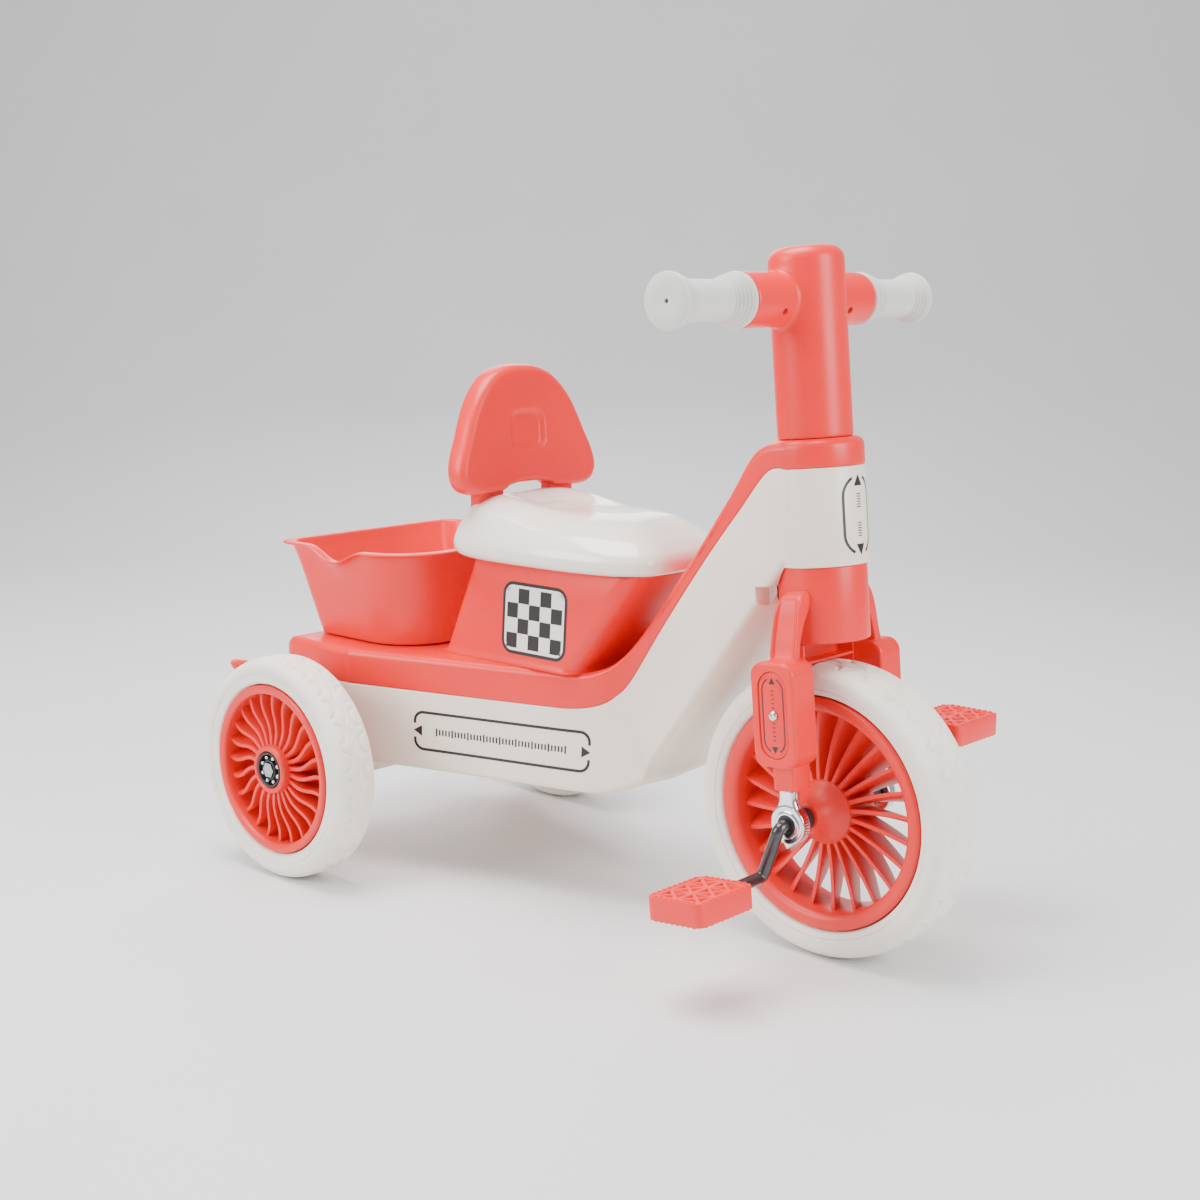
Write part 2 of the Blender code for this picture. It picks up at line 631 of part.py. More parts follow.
def make_hanger(name, side, pivot):
    """The forged eye that carries the crank, on a flat shank that the fork screw holds."""
    shank = block((-0.0065, side * HANGER_Y - 0.0031, 0.010), (0.0065, side * HANGER_Y + 0.0031, 0.1045))
    hanger = add(name, shank, matrix=STEER)
    eye = bevelled(add("eye", rod(EYE_RADIUS, -0.005, 0.005, 20)), 0.0012, 1)
    eye.data.transform(STEER @ outward(side, Vector((0, side * HANGER_Y, 0))))
    combine(hanger, eye, "UNION")
    neck = [leg_ring(0, 0.0095, HANGER_Y - 0.0046, HANGER_Y + 0.0046, 0.010, 0.002)]
    neck.append(leg_ring(0, 0.0078, HANGER_Y - 0.0046, HANGER_Y + 0.0046, 0.0265, 0.002))
    neck = [[(x, side * y, z) for x, y, z in ring] for ring in neck]
    combine(hanger, add("neck", lofted(neck), matrix=STEER), "UNION")
    eye_frame = STEER @ outward(side, Vector((0, side * HANGER_Y, 0)))
    bore = add("bore", rod(0.0083, -0.02, 0.02, 16), matrix=eye_frame)
    combine(hanger, bore, "DIFFERENCE")
    screw_frame = STEER @ outward(side, Vector((0, side * LEG_Y, BOSS_HEIGHT)))
    hole = add("hole", rod(0.0023, -0.02, 0.02, 12), matrix=screw_frame)
    combine(hanger, hole, "DIFFERENCE")
    finish_object(hanger, "chrome", pivot)


def make_fork(pivot):
    make_fork_crown(pivot)
    make_fork_yoke(pivot)
    for name, side in SIDES:
        centre = make_leg("fork_leg_" + name, side, pivot)
        frame = STEER @ outward(side, centre)
        cover = add("fork_cover_" + name, prism(pill(0.0131, 0.0341), 0.0085 + GAP, 0.0100), matrix=frame)
        hole = add("hole", rod(0.0023, 0, 0.02, 12), matrix=frame)
        combine(cover, hole, "DIFFERENCE")
        finish_object(cover, "coral", pivot)
        screw_profile = (
            (0, -0.0120),
            (0.0020, -0.0120),
            (0.0020, 0.0103),
            (0.0038, 0.0103),
            (0.0030, 0.0122),
            (0, 0.0126),
        )
        screw = turned(screw_profile, 16)
        add("fork_screw_" + name, screw, "chrome", frame, pivot)
        make_hanger("axle_hanger_" + name, side, pivot)
        bush = tube(0.0080, ROD_RADIUS + GAP, HANGER_Y - 0.0055, HANGER_Y + 0.0060, 20)
        add("hanger_bush_" + name, bush, "black", STEER @ outward(side, Vector((0, 0, 0))), pivot)


# Wheels


def blade(turn, inner, outer, sweep, depth, steps):
    """One fan blade: a thin curved wall from the hub to the rim ring."""
    left, right = [], []
    for i in range(steps + 1):
        share = i / steps
        radius = inner + (outer - inner) * share
        angle = turn + sweep(share)
        half = BLADE_THICKNESS / 2 / radius
        left.append((radius * math.cos(angle + half), radius * math.sin(angle + half)))
        right.append((radius * math.cos(angle - half), radius * math.sin(angle - half)))
    return prism(right + left[::-1], -depth, depth)


def front_sweep(share):
    return RIM_PITCH * 1.5 * share


def rear_sweep(share):
    return RIM_PITCH * 0.5 * share - 0.05 * math.sin(2 * math.pi * share)


def make_rim(name, matrix, pivot, hub, ring, blade_reach, sweep, depth, bore, steps):
    """A hub, a ring and the blades between them. The blades start and end in the middle of a facet."""
    rim = add(name, turned(hub, BLADES))
    combine(rim, add("ring", turned(ring, 2 * BLADES, ring=True)), "UNION")
    blades = bmesh.new()
    for i in range(BLADES):
        one = blade(2 * math.pi * (i + 0.5) / BLADES, *blade_reach, sweep, depth, steps)
        mesh = bpy.data.meshes.new("blade")
        bmesh.ops.recalc_face_normals(one, faces=one.faces)
        one.to_mesh(mesh)
        one.free()
        blades.from_mesh(mesh)
        bpy.data.meshes.remove(mesh)
    combine(rim, add("blades", blades), "UNION")
    for cut in bore:
        combine(rim, add("bore", cut), "DIFFERENCE")
    rim.data.transform(matrix)
    finish_object(rim, "coral", pivot)


def tyre_profile(radius, half_width, seat_radius):
    """A closed section: bead seat, bulging sidewalls, round shoulders and a nearly flat tread."""
    wall = radius - seat_radius
    half = [
        (seat_radius + GAP, half_width * 0.84),
        (seat_radius + wall * 0.35, half_width),
        (seat_radius + wall * 0.80, half_width * 0.90),
        (seat_radius + wall * 0.95, half_width * 0.64),
        (radius, half_width * 0.30),
    ]
    return half + [(r, -h) for r, h in reversed(half)]


def make_front_wheel(pivot):
    matrix = outward(1, FRONT_AXLE)
    half_hub = [(0.0118, FRONT_HUB_END), (0.0130, FRONT_HUB_END - 0.006), (0.0260, 0.0195)]
    hub = [(0, -FRONT_HUB_END)] + [(r, -h) for r, h in half_hub] + half_hub[::-1] + [(0, FRONT_HUB_END)]
    half_ring = [(FRONT_RIM_RADIUS, 0.0225), (0.0925, 0.0260), (0.0835, 0.0240)]
    ring = half_ring + [(r, -h) for r, h in reversed(half_ring)]
    bore = [rod(ROD_RADIUS + GAP, -0.05, 0.05, 16)]
    reach = (0.018, 0.086)
    make_rim("front_rim", matrix, pivot, hub, ring, reach, front_sweep, 0.0165, bore, 2)
    tyre = turned(tyre_profile(FRONT_RADIUS, FRONT_HALF_WIDTH, FRONT_RIM_RADIUS), 44, ring=True)
    add("front_tyre", tyre, "tyre", matrix, pivot)
    for name, side in SIDES:
        sleeve = tube(0.0090, ROD_RADIUS + GAP, FRONT_HUB_END + 0.0005, HANGER_Y - 0.0065, 20)
        add("axle_sleeve_" + name, sleeve, "black", outward(side, FRONT_AXLE), pivot)


def crank_points():
    """The bent rod's centre line, right spindle end to left spindle end, with round bends."""
    drop = Vector((-math.sin(CRANK_ANGLE), 0, -math.cos(CRANK_ANGLE))) * CRANK_THROW
    end = PEDAL_Y + PEDAL_SIZE[1] / 2 - 0.0035
    corners = [
        drop + Vector((0, -end, 0)),
        drop + Vector((0, -CRANK_TIP_Y, 0)),
        Vector((0, -CRANK_ROOT_Y, 0)),
        Vector((0, CRANK_ROOT_Y, 0)),
        -drop + Vector((0, CRANK_TIP_Y, 0)),
        -drop + Vector((0, end, 0)),
    ]
    points = [corners[0]]
    for before, corner, after in zip(corners, corners[1:], corners[2:]):
        start = corner + (before - corner).normalized() * CRANK_BEND
        stop = corner + (after - corner).normalized() * CRANK_BEND
        for i in range(4):
            share = i / 3
            points.append(start * (1 - share) ** 2 + corner * 2 * share * (1 - share) + stop * share**2)
    return points + [corners[-1]]


def make_crank(pivot):
    curve = bpy.data.curves.new("crank_axle", "CURVE")
    curve.dimensions = "3D"
    curve.bevel_depth = ROD_RADIUS
    curve.bevel_resolution = 3
    curve.use_fill_caps = True
    points = crank_points()
    spline = curve.splines.new("POLY")
    spline.points.add(len(points) - 1)
    for point, where in zip(spline.points, points):
        point.co = (*where, 1)
    crank = bpy.data.objects.new("crank_axle", curve)
    curve.materials.append(material("crank_axle", "black"))
    crank.parent = pivot
    bpy.context.scene.collection.objects.link(crank)


def pedal_pockets(bays):
    """Cutters for the triangular pockets in both faces of a pedal, in its own frame."""
    length, width, thick = PEDAL_SIZE
    cell = (width - 0.012) / bays
    pockets = bmesh.new()
    for face in (-1, 1):
        for row in (-1, 1):
            for i in range(bays):
                y = -width / 2 + 0.006 + cell * (i + 0.5)
                near, far = row * 0.0085, row * (length / 2 - 0.0045)
                half = cell / 2 - 0.0015
                base, tip = (near, far) if (i + row) % 2 else (far, near)
                corners = ((base, y - half), (base, y + half), (tip, y))
                levels = (face * (thick / 2 - 0.005), face * (thick / 2 + 0.002))
                rings = [[pockets.verts.new((px, py, z)) for px, py in corners] for z in levels]
                for a in range(3):
                    b = (a + 1) % 3
                    pockets.faces.new((rings[0][a], rings[0][b], rings[1][b], rings[1][a]))
                pockets.faces.new(rings[0])
                pockets.faces.new(rings[1])
    return pockets


def make_pedal(name, side, pivot, pitch):
    """A tread block with a lattice of triangular pockets on both faces, and a bore closed outside."""
    length, width, thick = PEDAL_SIZE
    outline = rounded_box(-length / 2, length / 2, width / 2, 0.006, 0.006, 3)
    pedal = bevelled(add(name, prism(outline, -thick / 2, thick / 2)), 0.0012, 1)
    combine(pedal, add("pockets", pedal_pockets(3)), "DIFFERENCE")
    bore = rod(ROD_RADIUS + GAP, -0.05, width / 2 - 0.003, 16)
    combine(pedal, add("bore", bore, matrix=outward(side, Vector((0, 0, 0)))), "DIFFERENCE")
    centre = pivot.location + Vector((0, side * PEDAL_Y, 0))
    pedal.data.transform(Matrix.Translation(centre) @ Matrix.Rotation(-pitch, 4, "Y"))
    finish_object(pedal, "coral", pivot)


def make_rear_wheel(name, side, pivot):
    centre = REAR_AXLE + Vector((0, side * REAR_WHEEL_Y, 0))
    matrix = outward(side, centre)
    hub = [
        (0, -0.0160),
        (0.0160, -0.0160),
        (REAR_HUB_RADIUS, -0.0120),
        (REAR_HUB_RADIUS, 0.0215),
        (0.0205, 0.0235),
        (0, 0.0235),
    ]
    ring = [
        (REAR_RIM_RADIUS, 0.0185),
        (0.0755, 0.0215),
        (0.0690, 0.0200),
        (0.0690, -0.0185),
        (REAR_RIM_RADIUS, -0.0185),
    ]
    bore = [rod(ROD_RADIUS + GAP, -0.05, 0.05, 16), rod(BEARING_RADIUS + GAP, 0.0155, 0.05, 24)]
    reach = (0.019, 0.0715)
    make_rim("rear_rim_" + name, matrix, pivot, hub, ring, reach, rear_sweep, 0.0135, bore, 3)
    tyre = turned(tyre_profile(REAR_RADIUS, REAR_HALF_WIDTH, REAR_RIM_RADIUS), 36, ring=True)
    add("rear_tyre_" + name, tyre, "tyre", matrix, pivot)
    bearing = tube(BEARING_RADIUS, 0.0075, 0.0158, 0.0225, 24)
    add("rear_bearing_" + name, bearing, "steel", matrix, pivot)


def make_rear_axle():
    end = REAR_WHEEL_Y + 0.0232
    add("rear_axle", rod(ROD_RADIUS, -end, end, 16), "steel", outward(1, REAR_AXLE))
    for name, side in SIDES:
        matrix = outward(side, REAR_AXLE)
        bore = ROD_RADIUS + GAP
        flange = [(0.0080, 0.1248), (0.0120, 0.1248), (0.0120, 0.1285)]
        bush = [(0.0080, 0.1050)] + flange + [(bore, 0.1285), (bore, 0.1050)]
        add("axle_bush_" + name, turned(bush, 20, ring=True), "black", matrix)
        spacer = tube(0.0085, bore, 0.1290, REAR_WHEEL_Y - 0.0165, 20)
        add("axle_spacer_" + name, spacer, "black", matrix)
        nut = add("axle_nut_" + name, rod(0.0072, REAR_WHEEL_Y + 0.0160, end, 6))
        combine(nut, add("bore", rod(bore, 0.1, 0.3, 16)), "DIFFERENCE")
        nut.data.transform(matrix)
        finish_object(nut, "steel")


def main():
    for obj in list(bpy.data.objects):
        bpy.data.objects.remove(obj)
    make_lower_shell()
    make_upper_shell()
    make_seat_box()
    make_seat()
    make_backrest()
    make_storage_tub()
    make_rear_bumper()
    steering = pivot_at("steering_pivot", FRONT_AXLE)
    make_stem(steering)
    make_steering_tube(steering)
    make_fork(steering)
    front = pivot_at("front_wheel_pivot", FRONT_AXLE)
    make_front_wheel(front)
    make_crank(front)
    drop = Vector((-math.sin(CRANK_ANGLE), 0, -math.cos(CRANK_ANGLE))) * CRANK_THROW
    for name, side in SIDES:
        pedal_pivot = pivot_at("pedal_pivot_" + name, FRONT_AXLE - side * drop)
        make_pedal("pedal_" + name, side, pedal_pivot, PEDAL_PITCH[name])
        make_rear_wheel(name, side, pivot_at("rear_wheel_pivot_" + name, REAR_AXLE))
    make_rear_axle()


main()
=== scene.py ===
"""Looks of the children's tricycle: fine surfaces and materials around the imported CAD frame.

Metres, in the frame of the CAD. Fore-and-aft places are measured from the front axle, and place() moves
them into that frame. Parts that steer are drawn upright over the front axle, and STEER leans them.
"""

import json
import math

import bmesh
import bpy
from mathutils import Matrix, Vector
from mathutils.bvhtree import BVHTree


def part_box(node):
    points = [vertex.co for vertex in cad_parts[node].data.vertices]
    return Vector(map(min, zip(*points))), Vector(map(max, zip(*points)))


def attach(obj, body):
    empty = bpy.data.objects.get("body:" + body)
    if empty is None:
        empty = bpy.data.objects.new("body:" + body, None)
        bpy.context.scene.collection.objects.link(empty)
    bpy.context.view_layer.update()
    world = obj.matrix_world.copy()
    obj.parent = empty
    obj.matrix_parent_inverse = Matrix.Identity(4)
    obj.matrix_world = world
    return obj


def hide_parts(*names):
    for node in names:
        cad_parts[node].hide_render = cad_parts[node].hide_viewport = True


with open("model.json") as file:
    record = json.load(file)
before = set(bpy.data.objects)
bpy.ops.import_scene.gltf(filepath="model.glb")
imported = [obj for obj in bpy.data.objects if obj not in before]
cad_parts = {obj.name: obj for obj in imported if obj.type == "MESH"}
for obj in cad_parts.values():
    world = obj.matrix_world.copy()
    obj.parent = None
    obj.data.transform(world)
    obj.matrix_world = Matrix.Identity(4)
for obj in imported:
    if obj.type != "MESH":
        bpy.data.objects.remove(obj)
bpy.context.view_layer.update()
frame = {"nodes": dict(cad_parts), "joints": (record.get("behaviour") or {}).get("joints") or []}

JOINTS = {joint["name"]: joint for joint in frame["joints"]}
FRONT_AXLE = Vector(JOINTS["steer"]["pos_m"])
STEER_AXIS = Vector(JOINTS["steer"]["axis"])
RAKE = math.atan2(-STEER_AXIS.x, STEER_AXIS.z)
STEER = Matrix.Translation(FRONT_AXLE) @ Matrix.Rotation(-RAKE, 4, "Y")
SIDES = (("right", -1), ("left", 1))
GAP = 0.0003
HEAD_RADIUS = 0.038
STEM_RADIUS = 0.030
SLEEVE_RADIUS = 0.0213
BAR = Vector((-0.009, 0, 0.4072))
LEG_TOP = 0.1810
HANGER_Y = 0.0600
PEG_Y = 0.045
PEDAL_SIZE = (0.053, 0.065, 0.020)
PEDAL_PITCH = {"right": 5.6, "left": 0.0}
CORAL = (0.90, 0.012, 0.012)


def place(x, y, z):
    return Vector((FRONT_AXLE.x + x, y, z))


def turn(degrees, axis):
    return Matrix.Rotation(math.radians(degrees), 4, axis)


def outward(side, centre):
    """A frame whose Z points out of the side that it is on."""
    return Matrix.Translation(centre) @ turn(-90 * side, "X")


def joint_place(name):
    return Vector(JOINTS[name]["pos_m"])


# Materials


def shader_of(name, colour, roughness, metallic=0, specular=0.5, coat=0, coat_roughness=0.1, subsurface=0):
    made = bpy.data.materials.new(name)
    made.use_nodes = True
    shader = made.node_tree.nodes["Principled BSDF"]
    shader.inputs["Base Color"].default_value = (*colour, 1)
    shader.inputs["Roughness"].default_value = roughness
    shader.inputs["Metallic"].default_value = metallic
    shader.inputs["Specular IOR Level"].default_value = specular
    shader.inputs["Coat Weight"].default_value = coat
    shader.inputs["Coat Roughness"].default_value = coat_roughness
    shader.inputs["Subsurface Weight"].default_value = subsurface
    shader.inputs["Subsurface Scale"].default_value = 0.004
    return made, made.node_tree, shader


def noise_of(tree, scale, detail=3.0, roughness=0.5, stretch=(1, 1, 1)):
    coords = tree.nodes.new("ShaderNodeTexCoord")
    mapping = tree.nodes.new("ShaderNodeMapping")
    mapping.inputs["Scale"].default_value = stretch
    noise = tree.nodes.new("ShaderNodeTexNoise")
    noise.inputs["Scale"].default_value = scale
    noise.inputs["Detail"].default_value = detail
    noise.inputs["Roughness"].default_value = roughness
    tree.links.new(coords.outputs["Object"], mapping.inputs["Vector"])
    tree.links.new(mapping.outputs["Vector"], noise.inputs["Vector"])
    return noise.outputs["Fac"]


def remap(tree, value, low, high, to_low, to_high):
    node = tree.nodes.new("ShaderNodeMapRange")
    for name, number in (("From Min", low), ("From Max", high), ("To Min", to_low), ("To Max", to_high)):
        node.inputs[name].default_value = number
    tree.links.new(value, node.inputs["Value"])
    return node.outputs["Result"]


def tinted(tree, shader, noise, colours, low=0.3):
    """Lets the base colour drift between two shades."""
    factor = remap(tree, noise, low, 0.7, 0.0, 1.0)
    mix = tree.nodes.new("ShaderNodeMix")
    mix.data_type = "RGBA"
    mix.inputs["A"].default_value = (*colours[0], 1)
    mix.inputs["B"].default_value = (*colours[1], 1)
    tree.links.new(factor, mix.inputs["Factor"])
    tree.links.new(mix.outputs["Result"], shader.inputs["Base Color"])


def uneven(tree, shader, noise, low, high, smooth, rough):
    """Lets the roughness drift between two values."""
    tree.links.new(remap(tree, noise, low, high, smooth, rough), shader.inputs["Roughness"])


def bumped(tree, shader, height, strength, distance):
    bump = tree.nodes.new("ShaderNodeBump")
    bump.inputs["Strength"].default_value = strength
    bump.inputs["Distance"].default_value = distance
    tree.links.new(height, bump.inputs["Height"])
    tree.links.new(bump.outputs["Normal"], shader.inputs["Normal"])


def darker(colour, amount):
    return tuple(channel * (1 - amount) for channel in colour)


def moulded(name, colour, roughness, grain=0.10, **more):
    """Injection-moulded plastic: faint flow clouds in the colour, uneven gloss and a fine moulded grain."""
    made, tree, shader = shader_of(name, colour, roughness, **more)
    tinted(tree, shader, noise_of(tree, 9.0, 4.0), (colour, darker(colour, 0.07)))
    uneven(tree, shader, noise_of(tree, 35.0, 5.0, 0.6), 0.25, 0.75, roughness - 0.05, roughness + 0.06)
    bumped(tree, shader, noise_of(tree, 1500.0, 2.0), grain, 0.0002)
    return made


def soft_rubber(name, colour, roughness, grain=0.3, scale=1100.0):
    made, tree, shader = shader_of(name, colour, roughness, specular=0.35)
    tinted(tree, shader, noise_of(tree, 22.0, 5.0, 0.6), (colour, darker(colour, 0.09)), 0.35)
    uneven(tree, shader, noise_of(tree, 60.0, 4.0), 0.3, 0.7, roughness - 0.06, roughness + 0.08)
    bumped(tree, shader, noise_of(tree, scale, 3.0), grain, 0.0003)
    return made


def metal(name, colour, roughness, stretch=(1, 1, 1), scratches=0.05):
    made, tree, shader = shader_of(name, colour, roughness, metallic=1.0)
    tinted(tree, shader, noise_of(tree, 120.0, 4.0), (colour, darker(colour, 0.12)))
    fine_noise = noise_of(tree, 500.0, 5.0, 0.7, stretch)
    uneven(tree, shader, fine_noise, 0.3, 0.7, roughness * 0.7, roughness * 1.6)
    bumped(tree, shader, fine_noise, scratches, 0.0001)
    return made


def painted(name, colour, roughness):
    made, tree, shader = shader_of(name, colour, roughness, coat=0.6, coat_roughness=0.12)
    lighter = tuple(channel + 0.012 for channel in colour)
    tinted(tree, shader, noise_of(tree, 70.0, 4.0), (colour, lighter), 0.35)
    bumped(tree, shader, noise_of(tree, 420.0, 3.0), 0.12, 0.0002)
    return made


SHELL_CORAL = moulded(
    "shell_coral_plastic", CORAL, 0.36, specular=0.4, coat=0.08, coat_roughness=0.25, subsurface=0.06
)
BODY_WHITE = moulded(
    "shell_white_plastic", (0.90, 0.80, 0.69), 0.34, coat=0.2, coat_roughness=0.2, subsurface=0.10
)
SEAT_WHITE = moulded(
    "seat_white_plastic", (0.92, 0.87, 0.78), 0.20, 0.05, coat=0.5, coat_roughness=0.08, subsurface=0.10
)
WHEEL_CORAL = moulded("wheel_coral_plastic", (0.80, 0.014, 0.010), 0.38, subsurface=0.05)
PEDAL_CORAL = moulded("pedal_coral_plastic", CORAL, 0.42, grain=0.25, subsurface=0.08)
TYRE_WHITE = soft_rubber("tyre_white_foam", (0.90, 0.85, 0.76), 0.62)
GRIP_GREY = soft_rubber("grip_grey_rubber", (0.66, 0.66, 0.62), 0.55, 0.4, 1600.0)
NYLON_BLACK = moulded("nylon_black", (0.018, 0.018, 0.020), 0.45, grain=0.3)
CRANK_BLACK = painted("crank_black_paint", (0.012, 0.012, 0.014), 0.28)
CHROME = metal("chrome_plate", (0.78, 0.78, 0.80), 0.10, scratches=0.02)
STEEL = metal("turned_steel", (0.50, 0.50, 0.52), 0.28, (1, 8, 1), 0.10)
INK_BLACK = moulded("ink_black", (0.015, 0.013, 0.012), 0.35, grain=0.02)
INK_WHITE = moulded("ink_white", (0.90, 0.89, 0.86), 0.35, grain=0.02)


# Shapes


def mesh_object(name, bm, matrix=None):
    if matrix is not None:
        bmesh.ops.transform(bm, matrix=matrix, verts=bm.verts)
    bmesh.ops.recalc_face_normals(bm, faces=bm.faces)
    mesh = bpy.data.meshes.new(name)
    bm.to_mesh(mesh)
    bm.free()
    obj = bpy.data.objects.new(name, mesh)
    bpy.context.scene.collection.objects.link(obj)
    return obj


def piece(obj, material, body, replaced=(), sharp=40):
    """Gives a finished mesh its material, its shading and its body, and hides the CAD nodes that it stands
    for.
    """
    obj.data.materials.clear()
    obj.data.materials.append(material)
    if obj.type == "MESH":
        obj.data.shade_smooth()
        obj.data.set_sharp_from_angle(angle=math.radians(sharp))
    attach(obj, body)
    if replaced:
        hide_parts(*replaced)
    return obj


def fine(name, bm, material, body, sharp=40, matrix=None):
    """The fine piece that stands for the CAD node of the same name."""
    return piece(mesh_object(name + "_fine", bm, matrix), material, body, [name], sharp)


def applied(obj):
    """Replaces an object's mesh with its evaluated one, so that no modifier is left."""
    depsgraph = bpy.context.evaluated_depsgraph_get()
    depsgraph.update()
    mesh = bpy.data.meshes.new_from_object(obj.evaluated_get(depsgraph))
    obj.modifiers.clear()
    obj.data = mesh
    return obj


def combine(obj, other, operation, solver="EXACT"):
    modifier = obj.modifiers.new("combine", "BOOLEAN")
    modifier.operation = operation
    modifier.solver = solver
    modifier.object = other
    applied(obj)
    bpy.data.objects.remove(other)
    return obj


def cut(obj, bm, matrix=None):
    return combine(obj, mesh_object("cutter", bm, matrix), "DIFFERENCE")


def joined(name, parts):
    """One object of several meshes, with nothing merged."""
    bm = bmesh.new()
    for part in parts:
        part.data.transform(part.matrix_world)
        bm.from_mesh(part.data)
        bpy.data.objects.remove(part)
    return mesh_object(name, bm)


def bevelled(obj, width, segments=3, angle=35):
    modifier = obj.modifiers.new("edges", "BEVEL")
    modifier.width = width
    modifier.segments = segments
    modifier.limit_method = "ANGLE"
    modifier.angle_limit = math.radians(angle)
    modifier.harden_normals = False
    return applied(obj)


def melted(obj, voxel, rounds):
    """Remeshed and smoothed, so that joined shapes run into each other as a moulding does."""
    modifier = obj.modifiers.new("melt", "REMESH")
    modifier.mode = "VOXEL"
    modifier.voxel_size = voxel
    modifier.adaptivity = 0.0
    applied(obj)
    smooth = obj.modifiers.new("smooth", "SMOOTH")
    smooth.factor = 0.5
    smooth.iterations = rounds
    return applied(obj)


def loft(bm, rings, cap_start=True, cap_end=True, closed=True):
    """Adds a surface through rings of points."""
    loops = [[bm.verts.new(point) for point in ring] for ring in rings]
    count = len(loops[0])
    for first, second in zip(loops, loops[1:]):
        for i in range(count if closed else count - 1):
            j = (i + 1) % count
            bm.faces.new((first[i], first[j], second[j], second[i]))
    if cap_start:
        bm.faces.new(loops[0])
    if cap_end:
        bm.faces.new(loops[-1])
    return bm


def skin(rings):
    return loft(bmesh.new(), rings)


def turned(profile, segments, ring=False, shape=None):
    """Turns a profile of (radius, height) points about Z. shape(angle, index) may lift a point's radius."""
    bm = bmesh.new()
    rows = []
    for index, (radius, height) in enumerate(profile):
        row = []
        for i in range(1 if radius == 0 else segments):
            angle = 2 * math.pi * i / segments
            reach = radius + (shape(angle, index) if shape else 0.0)
            row.append(bm.verts.new((reach * math.cos(angle), reach * math.sin(angle), height)))
        rows.append(row)
    pairs = list(zip(rows, rows[1:]))
    if ring:
        pairs.append((rows[-1], rows[0]))
    for first, second in pairs:
        for i in range(segments):
            places = ((first, i), (first, i + 1), (second, i + 1), (second, i))
            unique = list(dict.fromkeys(row[k % len(row)] for row, k in places))
            if len(unique) > 2:
                bm.faces.new(unique)
    return bm


def rod(radius, low, high, segments=48):
    return turned(((0, low), (radius, low), (radius, high), (0, high)), segments)


def block(low, high):
    (x0, y0, z0), (x1, y1, z1) = low, high
    corners = ((x0, y0), (x1, y0), (x1, y1), (x0, y1))
    return skin([[(x, y, z) for x, y in corners] for z in (z0, z1)])


def arc(centre, radius, start, end, steps):
    angles = (math.radians(start + (end - start) * i / steps) for i in range(steps + 1))
    return [(centre[0] + radius * math.cos(a), centre[1] + radius * math.sin(a)) for a in angles]


def prism(outline, low, high):
    return skin([[(x, y, z) for x, y in outline] for z in (low, high)])


def rounded_box(rear, front, half_width, rear_radius, front_radius, steps=8):
    rear_x, front_x = rear + rear_radius, front - front_radius
    rear_y, front_y = half_width - rear_radius, half_width - front_radius
    return (
        arc((rear_x, -rear_y), rear_radius, 180, 270, steps)
        + arc((front_x, -front_y), front_radius, 270, 360, steps)
        + arc((front_x, front_y), front_radius, 0, 90, steps)
        + arc((rear_x, rear_y), rear_radius, 90, 180, steps)
    )


def pill(half_width, half_height, steps=16):
    straight = half_height - half_width
    return arc((0, straight), half_width, 0, 180, steps) + arc((0, -straight), half_width, 180, 360, steps)


def spline(points, steps):
    """A Catmull-Rom curve through points of any number of values, ends included."""

    def blend(a, b, c, d, t):
        bend = 2 * a - 5 * b + 4 * c - d
        twist = 3 * b - 3 * c + d - a
        return 0.5 * (2 * b + (c - a) * t + bend * t * t + twist * t**3)

    curve = []
    last = len(points) - 1
    for i in range(last):
        near = [points[min(max(k, 0), last)] for k in (i - 1, i, i + 1, i + 2)]
        for step in range(steps):
            curve.append(tuple(blend(*values, step / steps) for values in zip(*near)))
    return curve + [tuple(points[-1])]


def mirrored(half):
    """A half profile, from one face to the middle plane, carried on to the other face."""
    return half + [(radius, -height) for radius, height in reversed(half[:-1])]


def drum(radius, half, edge, steps):
    """The profile of a solid disc with round edges."""
    rim = arc((radius - edge, half - edge), edge, 0, 90, steps)
    return [(0, -half)] + [(r, -h) for r, h in reversed(rim)] + rim + [(0, half)]


def bush(inner, outer, low, high, edge=0.0012):
    """The profile of a tube whose outer edges are rounded."""
    turn_in = outer - edge
    rim = arc((turn_in, low + edge), edge, -90, 0, 4)[1:] + arc((turn_in, high - edge), edge, 0, 90, 4)
    return [(inner, low), (turn_in, low)] + rim + [(inner, high)]


def smoothstep(low, high, value):
    share = min(1.0, max(0.0, (value - low) / (high - low)))
    return share * share * (3 - 2 * share)


# Body

